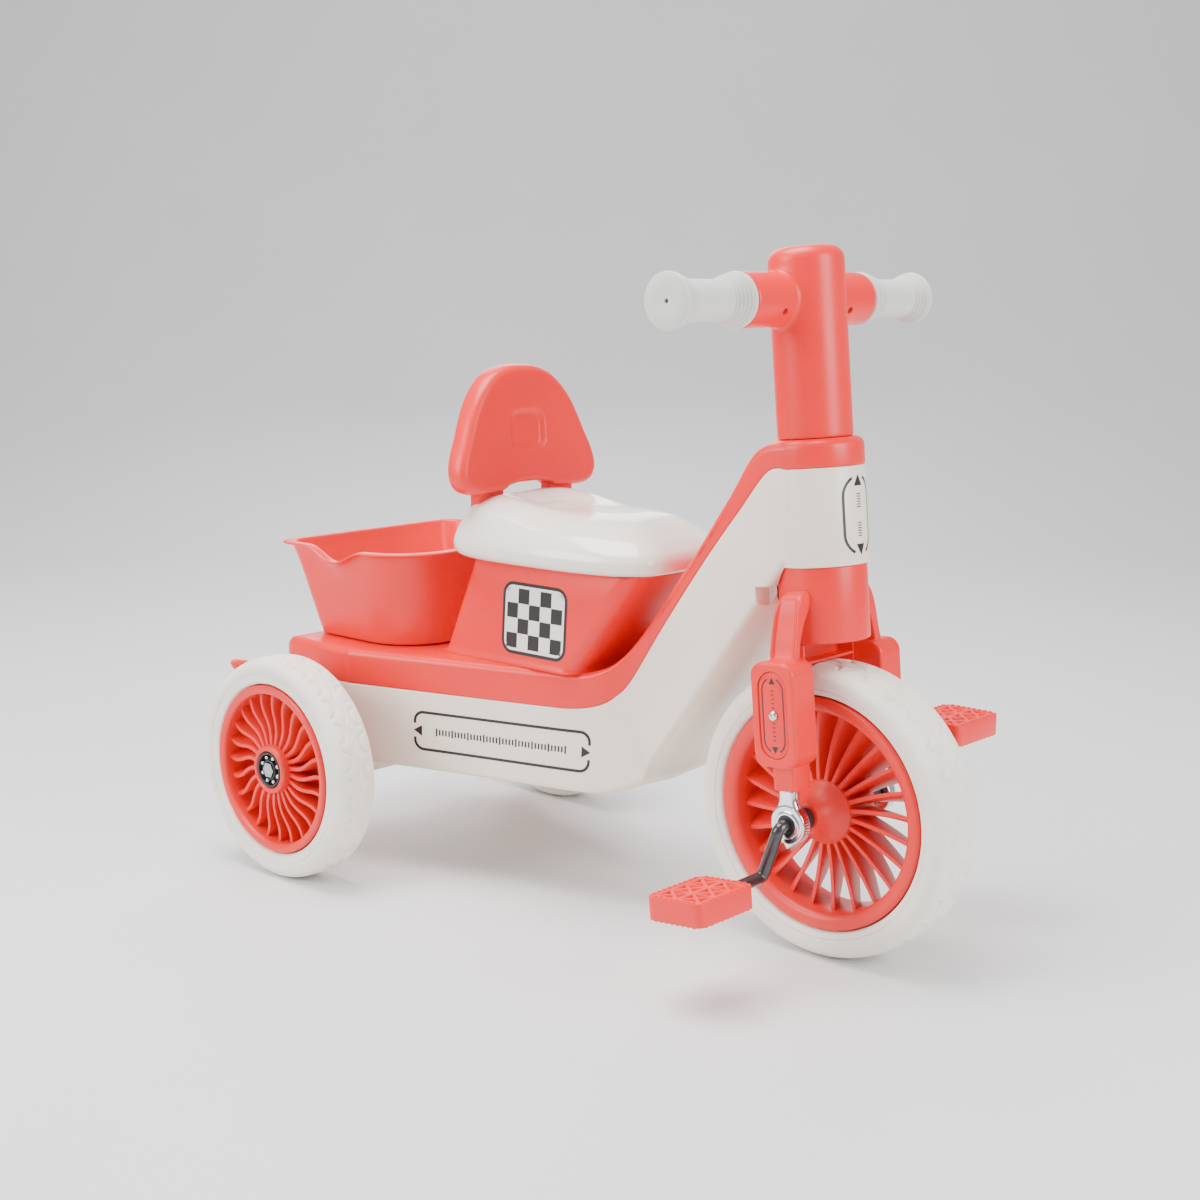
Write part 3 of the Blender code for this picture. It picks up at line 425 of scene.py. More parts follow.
# Sections of the shells: top edge, seam and keel as (place from the front axle, height), and the half width
SEAM_STEPS = 6
SECTIONS = (
    ((-0.562, 0.198), (-0.562, 0.173), (-0.560, 0.112), 0.113),
    ((-0.548, 0.2045), (-0.548, 0.173), (-0.546, 0.100), 0.120),
    ((-0.512, 0.205), (-0.512, 0.173), (-0.514, 0.098), 0.123),
    ((-0.498, 0.205), (-0.498, 0.173), (-0.499, 0.083), 0.1235),
    ((-0.464, 0.205), (-0.464, 0.173), (-0.463, 0.083), 0.1225),
    ((-0.450, 0.205), (-0.450, 0.173), (-0.448, 0.098), 0.1195),
    ((-0.350, 0.205), (-0.350, 0.173), (-0.348, 0.100), 0.092),
    ((-0.262, 0.205), (-0.262, 0.173), (-0.248, 0.100), 0.067),
    ((-0.231, 0.2052), (-0.236, 0.1737), (-0.216, 0.101), 0.0585),
    ((-0.207, 0.2125), (-0.214, 0.1785), (-0.190, 0.107), 0.0515),
    ((-0.1925, 0.2235), (-0.1985, 0.1880), (-0.1668, 0.118), 0.0455),
    ((-0.1790, 0.2390), (-0.1831, 0.2051), (-0.1585, 0.138), 0.0415),
    ((-0.1615, 0.2625), (-0.1518, 0.2524), (-0.1180, 0.194), 0.040),
    ((-0.1180, 0.3205), (-0.1054, 0.3161), (-0.0700, 0.2605), 0.040),
    ((-0.0830, 0.3705), (-0.0700, 0.3607), (-0.0305, 0.3150), 0.0398),
    ((-0.0570, 0.4085), (-0.0440, 0.3925), (-0.0255, 0.3180), 0.0388),
    ((-0.0262, 0.4160), (-0.0245, 0.3940), (-0.0182, 0.3190), 0.0379),
)


def fine_sections():
    flat = [(*top, *seam, *keel, half) for top, seam, keel, half in SECTIONS]
    return [((v[0], v[1]), (v[2], v[3]), (v[4], v[5]), v[6]) for v in spline(flat, SEAM_STEPS)]


def shell_ring(seam, edge, half_width, corner, lip, ridge, gap):
    """A section in the plane of the seam and the edge, with round corners and a softened seam edge."""
    seam, edge = Vector((seam[0], 0, seam[1])), Vector((edge[0], 0, edge[1]))
    along = (edge - seam).normalized()
    height = (edge - seam).length
    right = arc((-half_width + lip, gap + lip), lip, 270, 180, 4)
    right += [(-half_width, height * share) for share in (0.3, 0.6)]
    right += arc((-half_width + corner, height - corner), corner, 180, 90, 8)
    flat = -half_width + corner
    right += [(flat * share, height + ridge * (1 - share)) for share in (0.8, 0.6, 0.4, 0.2)]
    ring = right + [(0, height + ridge)] + [(-y, h) for y, h in reversed(right)]
    origin = place(seam.x, 0, seam.z)
    return [origin + along * h + Vector((0, y, 0)) for y, h in ring]


def make_lower_shell():
    flat_until, ridged_from = 8 * SEAM_STEPS, 11 * SEAM_STEPS
    rings = []
    for index, (_, seam, keel, half) in enumerate(fine_sections()):
        ridge = 0.004 * smoothstep(flat_until, ridged_from, index)
        rings.append(shell_ring(seam, keel, half, 0.0055, 0.0012, ridge, 0.0))
    shell = mesh_object("lower_shell_fine", skin(rings))
    cut(shell, rod(0.0368, 0.10, 0.2003, 64), STEER)
    for side in (-1, 1):
        low, high = sorted((side * 0.0225, side * 0.060))
        cut(shell, block((-0.0375, low, 0.160), (0.020, high, LEG_TOP + 0.003)), STEER)
    head = mesh_object("head", turned(bush(0.0215, HEAD_RADIUS, 0.1988, 0.2761), 96, ring=True), STEER)
    cut(shell, rod(0.0085, -0.2, 0.2, 40), outward(1, joint_place("rear_wheel_left_spin")))
    return piece(joined("lower_shell_fine", [shell, head]), BODY_WHITE, "frame", ["lower_shell"], 30)


def make_upper_shell():
    rings = [shell_ring(seam, top, half, 0.0065, 0.0014, 0.0, GAP) for top, seam, _, half in fine_sections()]
    shell = mesh_object("upper_shell_fine", skin(rings))
    top, edge = 0.2984, 0.007
    cap = [(0.0213, 0.2764), (0.0368, 0.2764)] + arc((0.0368, 0.2776), 0.0012, -90, 0, 4)
    cap += arc((HEAD_RADIUS - edge, top - edge), edge, 0, 90, 8) + [(0.0213, top)]
    whole = joined("upper_shell_fine", [shell, mesh_object("cap", turned(cap, 96, ring=True), STEER)])
    return piece(whole, SHELL_CORAL, "frame", ["upper_shell"], 30)


def make_seat_box():
    low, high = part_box("seat_box")
    # Share of the height, and how far the wall is let out there: the foot flares, the top is drawn in
    levels = ((0, 0.0035), (0.012, 0.0015), (0.035, 0.0004), (0.08, 0), (0.5, 0), (0.97, 0), (1, -0.001))
    rings = []
    for share, grow in levels:
        height = low[2] + (high[2] - low[2]) * share
        rear, front = -0.3925 + 0.0345 * share - grow, -0.233 + 0.065 * share + grow
        outline = rounded_box(rear, front, 0.066 - 0.006 * share + grow, 0.009, 0.016, 8)
        rings.append([place(x, y, height) for x, y in outline])
    return fine("seat_box", skin(rings), SHELL_CORAL, "frame", 30)


def seat_point(angle, inset, height, sweep):
    """A point of a squarish oval that narrows towards the nose. Sweep raises its rear and lowers its nose."""
    middle, length, width = -0.2675, 0.1175 - inset, 0.084 - inset
    across, along = math.sin(angle), math.cos(angle)
    x = length * math.copysign(abs(along) ** 0.42, along)
    taper = 1 - 0.15 * max(0.0, x / length) ** 1.5
    y = width * taper * math.copysign(abs(across) ** 0.42, across)
    rear = 1 - smoothstep(-0.362, -0.240, middle + x)
    lift = 0.0150 * rear - 0.004 * smoothstep(-0.230, -0.165, middle + x)
    return place(middle + x, y, height + sweep * lift)


def even_angles(points):
    """Angles that bunch up where the squarish oval turns its corners."""
    angles = []
    for i in range(points):
        angle = 2 * math.pi * (i + 0.5) / points
        angles.append(angle - 0.20 * math.sin(4 * angle))
    return angles


def make_seat():
    # Inset from the widest outline, height, and how much of the sweep is taken up
    levels = spline(
        (
            (0.030, 0.2953, 0.0),
            (0.016, 0.2954, 0.0),
            (0.007, 0.2966, 0.0),
            (0.002, 0.3000, 0.0),
            (0.0001, 0.3050, 0.0),
            (0.0002, 0.3095, 0.1),
            (0.0025, 0.3150, 0.25),
            (0.006, 0.3195, 0.5),
            (0.012, 0.3255, 0.88),
            (0.016, 0.3284, 0.98),
            (0.022, 0.3315, 1.0),
            (0.030, 0.3355, 0.97),
            (0.040, 0.3390, 0.83),
            (0.050, 0.3407, 0.50),
            (0.058, 0.3413, 0.20),
            (0.066, 0.3415, 0.0),
            (0.080, 0.3415, 0.0),
        ),
        3,
    )
    rings = [[seat_point(angle, *level) for angle in even_angles(144)] for level in levels]
    seat = mesh_object("seat_fine", skin(rings))
    for side in (-1, 1):
        y = side * PEG_Y
        cut(seat, block(place(-0.3615, y - 0.0155, 0.322), place(-0.3475, y + 0.0155, 0.36)))
    return piece(seat, SEAT_WHITE, "frame", ["seat"], 40)


def backrest_outline():
    """The outline from the top down one side, over the low arch and up the other side."""
    half = (
        (-0.012, 0.4642),
        (0.0, 0.4650),
        (0.0200, 0.4632),
        (0.0370, 0.4570),
        (0.0510, 0.4455),
        (0.0615, 0.4320),
        (0.0695, 0.4170),
        (0.0765, 0.4010),
        (0.0832, 0.3870),
        (0.0870, 0.3745),
        (0.0865, 0.3640),
        (0.0810, 0.3560),
        (0.0700, 0.3520),
        (0.0500, 0.3515),
        (0.0340, 0.3525),
        (0.0280, 0.3556),
        (0.0140, 0.3582),
        (0.0, 0.3585),
        (-0.0140, 0.3582),
    )
    curve = spline(half, 6)[6:-6]
    return curve + [(-y, z) for y, z in reversed(curve[1:-1])]


def make_backrest():
    outline = backrest_outline()
    centre = Vector((0, 0.400))
    low, half = 0.3525, 0.087
    dimple_height = 0.406

    def at(y, z, shrink, depth):
        spot = centre + (Vector((y, z)) - centre) * shrink
        away = ((abs(spot.x) / 0.022) ** 4 + (abs(spot.y - dimple_height) / 0.0185) ** 4) ** 0.25
        dimple = 0.0035 * smoothstep(1.06, 0.80, away) if depth > 0.02 else 0.0
        x = -0.367 + depth - dimple - 0.09 * (spot.y - low) + 0.5 * spot.x**2
        return place(x, spot.x, spot.y)

    edge = spline(
        (
            (0.012, 0.0002),
            (0.006, 0.0008),
            (0.0018, 0.0035),
            (0.0, 0.0085),
            (0.0, 0.0165),
            (0.0020, 0.0215),
            (0.0065, 0.0243),
            (0.012, 0.0250),
        ),
        4,
    )
    profile = [(1 - inset / half, depth) for inset, depth in edge]
    first, last = profile[0][0], profile[-1][0]
    back = [(first * share, 0.0) for share in (0.02, 0.25, 0.5, 0.75, 0.9)]
    steps = 30
    front = [(last * (1 - i / steps), 0.0250) for i in range(1, steps)] + [(0.012, 0.0250)]
    rings = [[at(y, z, shrink, depth) for y, z in outline] for shrink, depth in back + profile + front]
    parts = [mesh_object("backrest_fine", skin(rings))]
    for side in (-1, 1):
        y = side * PEG_Y
        peg = block(place(-0.3610, y - 0.015, 0.3225), place(-0.3480, y + 0.015, 0.362))
        parts.append(bevelled(mesh_object("peg", peg), 0.0015))
    return piece(joined("backrest_fine", parts), SHELL_CORAL, "frame", ["backrest"], 40)


def tub_outline(share, grow, height, dip=0.0):
    """The tub's outline at a share of its height. A dip lowers the middle of the rim on both sides."""
    rear, front = -0.545 - 0.024 * share - grow, -0.412 + 0.007 * share + grow
    half = 0.092 + 0.016 * share + grow
    rear_radius, front_radius = 0.018 + grow * 0.4, 0.052 + grow
    corners = rounded_box(rear, front, half, rear_radius, front_radius, 14)
    start, stop = rear + rear_radius, front - front_radius
    run = [start + (stop - start) * (i + 1) / 41 for i in range(40)]
    ring = corners[:15] + [(x, -half) for x in run] + corners[15:45]
    ring += [(x, half) for x in reversed(run)] + corners[45:]
    middle, reach = -0.491, 0.041
    points = []
    for x, y in ring:
        away = min(1.0, abs(x - middle) / reach)
        drop = dip * (0.5 + 0.5 * math.cos(math.pi * away)) if abs(y) > half - 1e-6 else 0.0
        points.append(place(x, y, height - drop))
    return points


def make_storage_tub():
    """One surface: up the outside, over the rolled lip, and down the inside to the floor."""
    dip, wall, lip_share = 0.0125, -0.0025, 0.97
    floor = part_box("storage_tub")[0][2]

    def dipped(share, grow, height):
        return tub_outline(share, grow, height, dip * smoothstep(0.262, 0.290, height))

    foot = ((0.02, -0.006, floor), (0.03, -0.002, floor + 0.001), (0.05, 0.0, floor + 0.004))
    outside = spline(foot + ((0.3, 0.0, 0.232), (0.6, 0.0, 0.260)), 4)
    under_lip = ((0.75, 0.0, 0.273), (0.88, 0.0, 0.283), (0.96, 0.0003, 0.2898), (lip_share, 0.0018, 0.2918))
    roll = ((0.0045, 0.2926), (0.0072, 0.2924), (0.0080, 0.2930), (0.0076, 0.2941))
    roll += ((0.0045, 0.2947), (0.0010, 0.2950), (-0.0012, 0.2944), (-0.0022, 0.2928))
    inner_rim = ((0.95, wall, 0.288), (0.88, wall, 0.283), (0.75, wall, 0.273))
    sump = ((0.06, wall, floor + 0.010), (0.05, wall - 0.002, floor + 0.005))
    sump += ((0.04, wall - 0.006, floor + 0.0027), (0.04, wall - 0.012, floor + 0.0025))
    inside = spline(((0.6, wall, 0.260), (0.3, wall, 0.232)) + sump, 4)
    rings = [tub_outline(*level) for level in outside] + [dipped(*level) for level in under_lip]
    rings += [tub_outline(lip_share, grow, height, dip) for grow, height in spline(roll, 2)]
    rings += [dipped(*level) for level in inner_rim] + [tub_outline(*level) for level in inside]
    return fine("storage_tub", skin(rings), SHELL_CORAL, "frame", 45)


def make_rear_bumper():
    end = 0.152
    half = (0.0, 0.035, 0.070, 0.100, 0.120, 0.132, 0.140, 0.145, 0.148, 0.150, 0.1512, 0.1518, end)
    stations = [-y for y in reversed(half[1:])] + list(half)
    angles = [2 * math.pi * i / 32 for i in range(32)]
    rings = []
    for y in stations:
        reach = abs(y) / end
        size = 0.0075 * math.sqrt(max(0.004, 1 - reach**24))
        z = 0.158 + 0.018 * reach**4
        rings.append([place(size * math.cos(a) - 0.6012, y, z + size * math.sin(a)) for a in angles])
    parts = [mesh_object("bar", skin(rings))]
    for side in (-1, 1):
        lug = block(place(-0.600, side * 0.06 - 0.010, 0.150), place(-0.5628, side * 0.06 + 0.010, 0.164))
        parts.append(bevelled(mesh_object("lug", lug), 0.002))
    return piece(joined("rear_bumper_fine", parts), SHELL_CORAL, "frame", ["rear_bumper"])


# Steering assembly: heights along the raked axis above the front axle


def make_stem():
    low, high, foot_edge, top_edge = 0.2987, 0.4470, 0.001, 0.011
    profile = [(0, low)] + arc((STEM_RADIUS - foot_edge, low + foot_edge), foot_edge, -90, 0, 3)
    profile += arc((STEM_RADIUS - top_edge, high - top_edge), top_edge, 0, 90, 12) + [(0, high)]
    stem = mesh_object("stem_fine", turned(profile, 96), STEER)
    sleeve = turned(drum(SLEEVE_RADIUS, 0.078, 0.003, 5), 80)
    combine(stem, mesh_object("sleeve", sleeve, STEER @ outward(1, BAR)), "UNION")
    melted(stem, 0.0009, 4)
    soften_crossing(stem)
    for side in (-1, 1):
        under = STEER @ Matrix.Translation(BAR + Vector((0, side * 0.043, 0))) @ turn(120, "Y")
        cut(stem, rod(0.0030, 0.0150, 0.03, 24), under)
    return piece(stem, SHELL_CORAL, "steering", ["stem"], 50)


def soften_crossing(stem):
    """Smooths the mesh near the line where the stem and the sleeve meet."""
    to_steer, reach = STEER.inverted(), 0.005
    bm = bmesh.new()
    bm.from_mesh(stem.data)
    near = []
    for vert in bm.verts:
        local = to_steer @ vert.co
        from_stem = math.hypot(local.x, local.y) - STEM_RADIUS
        from_sleeve = math.hypot(local.x - BAR.x, local.z - BAR.z) - SLEEVE_RADIUS
        if abs(from_stem) < reach and abs(from_sleeve) < reach:
            near.append(vert)
    for _ in range(40):
        bmesh.ops.smooth_vert(bm, verts=near, factor=0.5, use_axis_x=True, use_axis_y=True, use_axis_z=True)
    bm.to_mesh(stem.data)
    bm.free()


def grip_profile():
    """A thin handle between two flanges whose slopes towards the hand are stepped into crisp ribs."""
    start, end = 0.0783, 0.161

    def rib(crest, base, drop, length):
        rise = [(crest - 0.0013, base), (crest, base + 0.0006), (crest, base + 0.0019)]
        return rise + [(crest - drop, base + length)]

    outer = [(0.0195, start), (0.0212, start + 0.0006), (0.0217, start + 0.0018)]
    outer += [(0.0217, start + 0.0034), (0.0210, start + 0.0044)]
    for i in range(5):
        outer += rib(0.0209 - 0.0009 * i, start + 0.0052 + 0.0034 * i, 0.0013, 0.0026)
    outer += [(0.0159, start + 0.0245), (0.0157, start + 0.028), (0.0157, 0.120), (0.0158, 0.1395)]
    for i in range(4):
        outer += rib(0.0172 + 0.0011 * i, 0.1425 + 0.0034 * i, 0.0010, 0.0027)
    outer += [(0.0212, 0.1565), (0.0215, 0.1580), (0.0212, 0.1602), (0.0203, end)]
    outer += [(0.0120, end - 0.0003), (0.0030, end - 0.0003), (0.0018, end - 0.0007)]
    return outer + [(0.0016, end - 0.004), (0.0016, 0.1505), (0.0113, 0.1505), (0.0113, start)]


def make_grips():
    for name, side in SIDES:
        matrix = STEER @ outward(side, BAR)
        fine("grip_" + name, turned(grip_profile(), 96, ring=True), GRIP_GREY, "steering", 50, matrix)
        # A black plug sits in the small vent hole in each grip's end: painted shade for the depth of the
        # hole.
        hole_shade = mesh_object("grip_hole_shade_" + name, rod(0.0014, 0.151, 0.1592, 20), matrix)
        piece(hole_shade, NYLON_BLACK, "steering")


def leg_ring(x, half, y_in, y_out, height, corner=0.003, groove=0.0, steps=6):
    """A leg's cross-section. Its outer face may be sunk between two edge ribs by a groove."""
    mid, thick = (y_in + y_out) / 2, (y_out - y_in) / 2
    ring = []
    for cx, cy, start in ((1, 1, 0), (-1, 1, 90), (-1, -1, 180), (1, -1, 270)):
        centre = (x + cx * (half - corner), mid + cy * (thick - corner))
        ring += [(px, py, height) for px, py in arc(centre, corner, start, start + 90, steps)]
        if (cx, cy) == (1, 1):
            rim = half - corner - 0.0005
            for share in (1.0, 0.88, 0.0, -0.88, -1.0):
                depth = 0.0 if abs(share) == 1.0 else groove
                ring.append((x + rim * share, y_out - depth, height))
    return ring


# A leg from its top down: x, half width, inner face, outer face, height, corner radius, groove depth
LEG_STATIONS = (
    (0.0020, 0.0080, 0.0338, 0.0400, LEG_TOP, 0.0025, 0.0),
    (0.0020, 0.0100, 0.0338, 0.0470, 0.1765, 0.0025, 0.0),
    (0.0010, 0.0112, 0.0360, 0.0520, 0.1680, 0.0018, 0.0020),
    (0.0005, 0.0120, 0.0440, 0.0550, 0.1560, 0.0018, 0.0026),
    (0.0000, 0.0122, 0.0490, 0.0575, 0.1440, 0.0018, 0.0026),
    (0.0000, 0.0122, 0.0515, 0.0600, 0.1320, 0.0018, 0.0026),
    (0.0000, 0.0122, 0.0530, 0.0620, 0.1180, 0.0025, 0.0),
    (0.0000, 0.0110, 0.0445, 0.0660, 0.0600, 0.0030, 0.0),
    (0.0000, 0.0110, 0.0442, 0.0660, 0.0450, 0.0030, 0.0),
    (0.0000, 0.0108, 0.0445, 0.0660, 0.0270, 0.0030, 0.0),
)


def make_yoke():
    """The hood under the collar: a box open to the front, and cheeks that stand beside the tyre."""
    wall, half, low, top, floor = 0.002, 0.0345, 0.112, 0.1383, 0.1215
    yoke = mesh_object("fork_yoke_fine", block((-0.0210, -half, low), (0.0025, half, top)), STEER)
    bevelled(yoke, 0.0015, 3)
    cut(yoke, block((-0.0120, wall - half, floor + wall), (0.01, half - wall, top - wall)), STEER)
    cut(yoke, block((-0.03, wall - half, low - 0.01), (0.01, half - wall, floor)), STEER)
    piece(yoke, SHELL_CORAL, "steering", ["fork_yoke"], 40)


def make_fork():
    collar = bush(0.0163, 0.0356, 0.1386, 0.1985)
    fine("fork_crown", turned(collar, 96, ring=True), SHELL_CORAL, "steering", 40, STEER)
    make_yoke()
    for name, side in SIDES:
        boss_frame = STEER @ outward(side, Vector((0, side * 0.064, 0.0885)))
        make_leg(name, side, boss_frame)
        cover = mesh_object("fork_cover_" + name + "_fine", prism(pill(0.0130, 0.0340, 20), 0.0088, 0.0100))
        bevelled(cover, 0.0003, 2)
        cover.data.transform(boss_frame)
        cut(cover, rod(0.0024, 0, 0.02, 24), boss_frame)
        piece(cover, SHELL_CORAL, "steering", ["fork_cover_" + name], 40)
        make_fork_screw(name, boss_frame)
        make_hanger(name, side)
        label(cover, "fork_label_" + name, boss_frame, 0.0105, 0.0300, "steering", 0.0011, 0.006, 5)


def make_leg(name, side, boss_frame):
    rings = []
    for station in spline(LEG_STATIONS, 5):
        rings.append([(x, side * y, z) for x, y, z in leg_ring(*station)])
    leg = mesh_object("fork_leg_" + name + "_fine", skin(rings), STEER)
    outline = rounded_box(-0.0205, 0.0205, 0.0415, 0.011, 0.011, 10)
    boss = bevelled(mesh_object("boss", prism(outline, -0.0180, 0.011)), 0.0022, 4)
    boss.data.transform(boss_frame)
    combine(leg, boss, "UNION")
    cut(leg, prism(pill(0.0136, 0.0346, 20), 0.0086, 0.02), boss_frame)
    low, high = side * HANGER_Y - 0.0034, side * HANGER_Y + 0.0034
    cut(leg, block((-0.0068, low, 0.0), (0.0068, high, 0.040)), STEER)
    melted(leg, 0.0006, 3)
    piece(leg, SHELL_CORAL, "steering", ["fork_leg_" + name], 50)


def make_fork_screw(name, boss_frame):
    head = [(0, 0.0090), (0.0022, 0.0090), (0.0022, 0.0103), (0.0040, 0.0103)]
    head += [(0.0041, 0.0108), (0.0036, 0.0118), (0.0024, 0.0124), (0, 0.0126)]
    screw = mesh_object("fork_screw_" + name + "_fine", turned(head, 40), boss_frame)
    for angle in (20, 110):
        cross = block((-0.0020, -0.00035, 0.0112), (0.0020, 0.00035, 0.02))
        cut(screw, cross, boss_frame @ turn(angle, "Z"))
    piece(screw, CHROME, "steering", ["fork_screw_" + name], 40)


def make_hanger(name, side):
    eye_frame = STEER @ outward(side, Vector((0, side * HANGER_Y, 0)))
    shape = spline(((0.0142, -0.004), (0.0140, 0.004), (0.0110, 0.011), (0.0080, 0.018), (0.0074, 0.0268)), 5)
    neck = []
    for half, height in shape:
        ring = leg_ring(0, half, HANGER_Y - 0.0046, HANGER_Y + 0.0046, height)
        neck.append([(x, side * y, z) for x, y, z in ring])
    hanger = mesh_object("axle_hanger_" + name + "_fine", skin(neck), STEER)
    combine(hanger, mesh_object("eye", turned(drum(0.016, 0.005, 0.0014, 4), 64), eye_frame), "UNION")
    melted(hanger, 0.0005, 4)
    cut(hanger, rod(0.0083, -0.02, 0.02, 48), eye_frame)
    ring = [(0.0083, 0.0049), (0.0112, 0.0049), (0.0112, 0.0056), (0.0104, 0.0060), (0.0083, 0.0060)]
    collar = mesh_object("collar", turned(ring, 48, ring=True), eye_frame)
    whole = joined("axle_hanger_" + name + "_fine", [hanger, collar])
    piece(whole, CHROME, "steering", ["axle_hanger_" + name], 50)


# Wheels


def front_sweep(share):
    return 0.10 * share


def rear_sweep(share):
    return 0.10 * share - 0.05 * math.sin(2 * math.pi * share)


def blades_mesh(count, inner, outer, sweep, tilt, depth, thickness, taper, steps=14):
    """Fan blades: thin curved walls from hub to ring, leaning by tilt from one face to the other."""
    bm = bmesh.new()
    for number in range(count):
        start = 2 * math.pi * (number + 0.5) / count
        rows = []
        for level in (-1, -0.85, 0.85, 1):
            narrow = 0.72 if abs(level) == 1 else 1.0
            row = []
            for side in (1, -1):
                for step in range(steps + 1):
                    share = step / steps if side == 1 else 1 - step / steps
                    radius = inner + (outer - inner) * share
                    half = side * narrow * thickness / 2 / radius
                    angle = start + sweep(share) + tilt * level * 0.5 + half
                    height = level * (depth - taper * share)
                    row.append((radius * math.cos(angle), radius * math.sin(angle), height))
            rows.append(row)
        loft(bm, rows)
    return bm


def tread(radius, cells, depth, half_width):
    """Low-relief arcs round a tyre's shoulders, as a change of radius at (angle, across)."""
    pitch = 2 * math.pi * radius / cells
    shoulder, curl = half_width * 0.62, half_width * 0.36
    arc_width, line_width = 0.0013, 0.0010

    def relief(angle, across):
        total = 0.0
        for side in (-1, 1):
            cell = (angle / (2 * math.pi) * cells + (0.5 if side > 0 else 0.0)) % 1.0
            along = (cell - 0.5) * pitch
            distance = math.hypot(along * 0.9, across - side * shoulder) - curl
            weight = smoothstep(-0.10 * half_width, 0.12 * half_width, shoulder - side * across)
            total -= depth * math.exp(-((distance / arc_width) ** 2)) * weight
        wave = math.sin(angle * cells) * 0.35 * half_width
        total -= 0.6 * depth * math.exp(-(((across - wave * 0.3) / line_width) ** 2))
        return total

    return relief


def tyre_mesh(radius, half_width, seat_radius, line_radius, segments, cells):
    """A tyre from its seat on the rim, past a fine moulded line on the side wall, to the tread."""
    wall = radius - seat_radius
    half = [
        (seat_radius + GAP, half_width * 0.80),
        (seat_radius + 0.0012, half_width * 0.875),
        (seat_radius + wall * 0.12, half_width * 0.93),
        (line_radius - 0.0008, half_width * 0.968),
        (line_radius, half_width * 0.948),
        (line_radius + 0.0008, half_width * 0.985),
    ]
    shoulder = ((0.62, 1.0), (0.78, 0.935), (0.90, 0.80), (0.965, 0.62), (0.992, 0.40))
    half += [(seat_radius + wall * out, half_width * across) for out, across in shoulder]
    profile = mirrored(spline(half + [(radius, half_width * 0.18), (radius, 0.0)], 4))
    relief = tread(radius, cells, 0.0022, half_width)
    start = seat_radius + wall * 0.70

    def shape(angle, index):
        reach, across = profile[index]
        return relief(angle, across) * smoothstep(start, start + wall * 0.12, reach)

    return turned(profile, segments, ring=True, shape=shape)


def make_rim(name, body, hub, half_ring, segments, blades, matrix):
    """Hub, outer ring and blades as one piece."""
    parts = [
        mesh_object("hub", hub),
        mesh_object("ring", turned(mirrored(spline(half_ring, 3)), segments, ring=True)),
        mesh_object("blades", blades),
    ]
    rim = joined(name + "_fine", parts)
    rim.data.transform(matrix)
    piece(rim, WHEEL_CORAL, body, [name], 40)


def make_front_wheel():
    matrix = outward(1, FRONT_AXLE)
    half_hub = [(0.0105, 0.0400), (0.0118, 0.0394), (0.0128, 0.0350), (0.0155, 0.0290)]
    half_hub += [(0.0215, 0.0205), (0.0258, 0.0178), (0.0268, 0.0160)]
    hub = [(0, -0.0400)] + [(r, -h) for r, h in half_hub] + [(0.0268, 0.0)] + half_hub[::-1] + [(0, 0.0400)]
    half_ring = [(0.0955, 0.0215), (0.0952, 0.0240), (0.0938, 0.0256), (0.0915, 0.0258), (0.0880, 0.0252)]
    half_ring += [(0.0850, 0.0240), (0.0832, 0.0220), (0.0822, 0.0185), (0.0815, 0.0120), (0.0812, 0.0)]
    blades = blades_mesh(24, 0.0245, 0.0825, front_sweep, 0.16, 0.0165, 0.0042, 0.004)
    make_rim("front_rim", "front_wheel", turned(hub, 96), half_ring, 160, blades, matrix)
    low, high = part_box("front_tyre")
    radius = (high[2] - low[2]) / 2 - 0.00004
    tyre = tyre_mesh(radius, 0.028, 0.096, 0.1025, 768, 30)
    fine("front_tyre", tyre, TYRE_WHITE, "front_wheel", 60, matrix)


def make_rear_wheels():
    hub = [(0.0060, -0.016), (0.0155, -0.016), (0.0205, -0.0135), (0.0220, -0.0120), (0.0222, 0.0140)]
    hub += [(0.0222, 0.0205), (0.0214, 0.0224), (0.0200, 0.0232), (0.0182, 0.0232), (0.0172, 0.0224)]
    hub += [(0.0167, 0.0200), (0.0167, 0.0155), (0.0060, 0.0155)]
    half_ring = [(0.0775, 0.0180), (0.0773, 0.0200), (0.0762, 0.0214), (0.0745, 0.0216), (0.0720, 0.0212)]
    half_ring += [(0.0702, 0.0204), (0.0692, 0.0185), (0.0688, 0.0140), (0.0686, 0.0)]
    for name, side in SIDES:
        body = "rear_wheel_" + name
        matrix = outward(side, joint_place(body + "_spin"))
        blades = blades_mesh(24, 0.0215, 0.0695, rear_sweep, 0.10, 0.0160, 0.0044, 0.002)
        make_rim("rear_rim_" + name, body, turned(hub, 96, ring=True), half_ring, 144, blades, matrix)
        tyre = tyre_mesh(0.10196, 0.022, 0.078, 0.0880, 640, 26)
        fine("rear_tyre_" + name, tyre, TYRE_WHITE, body, 60, matrix)
        make_bearing(name, body, matrix)


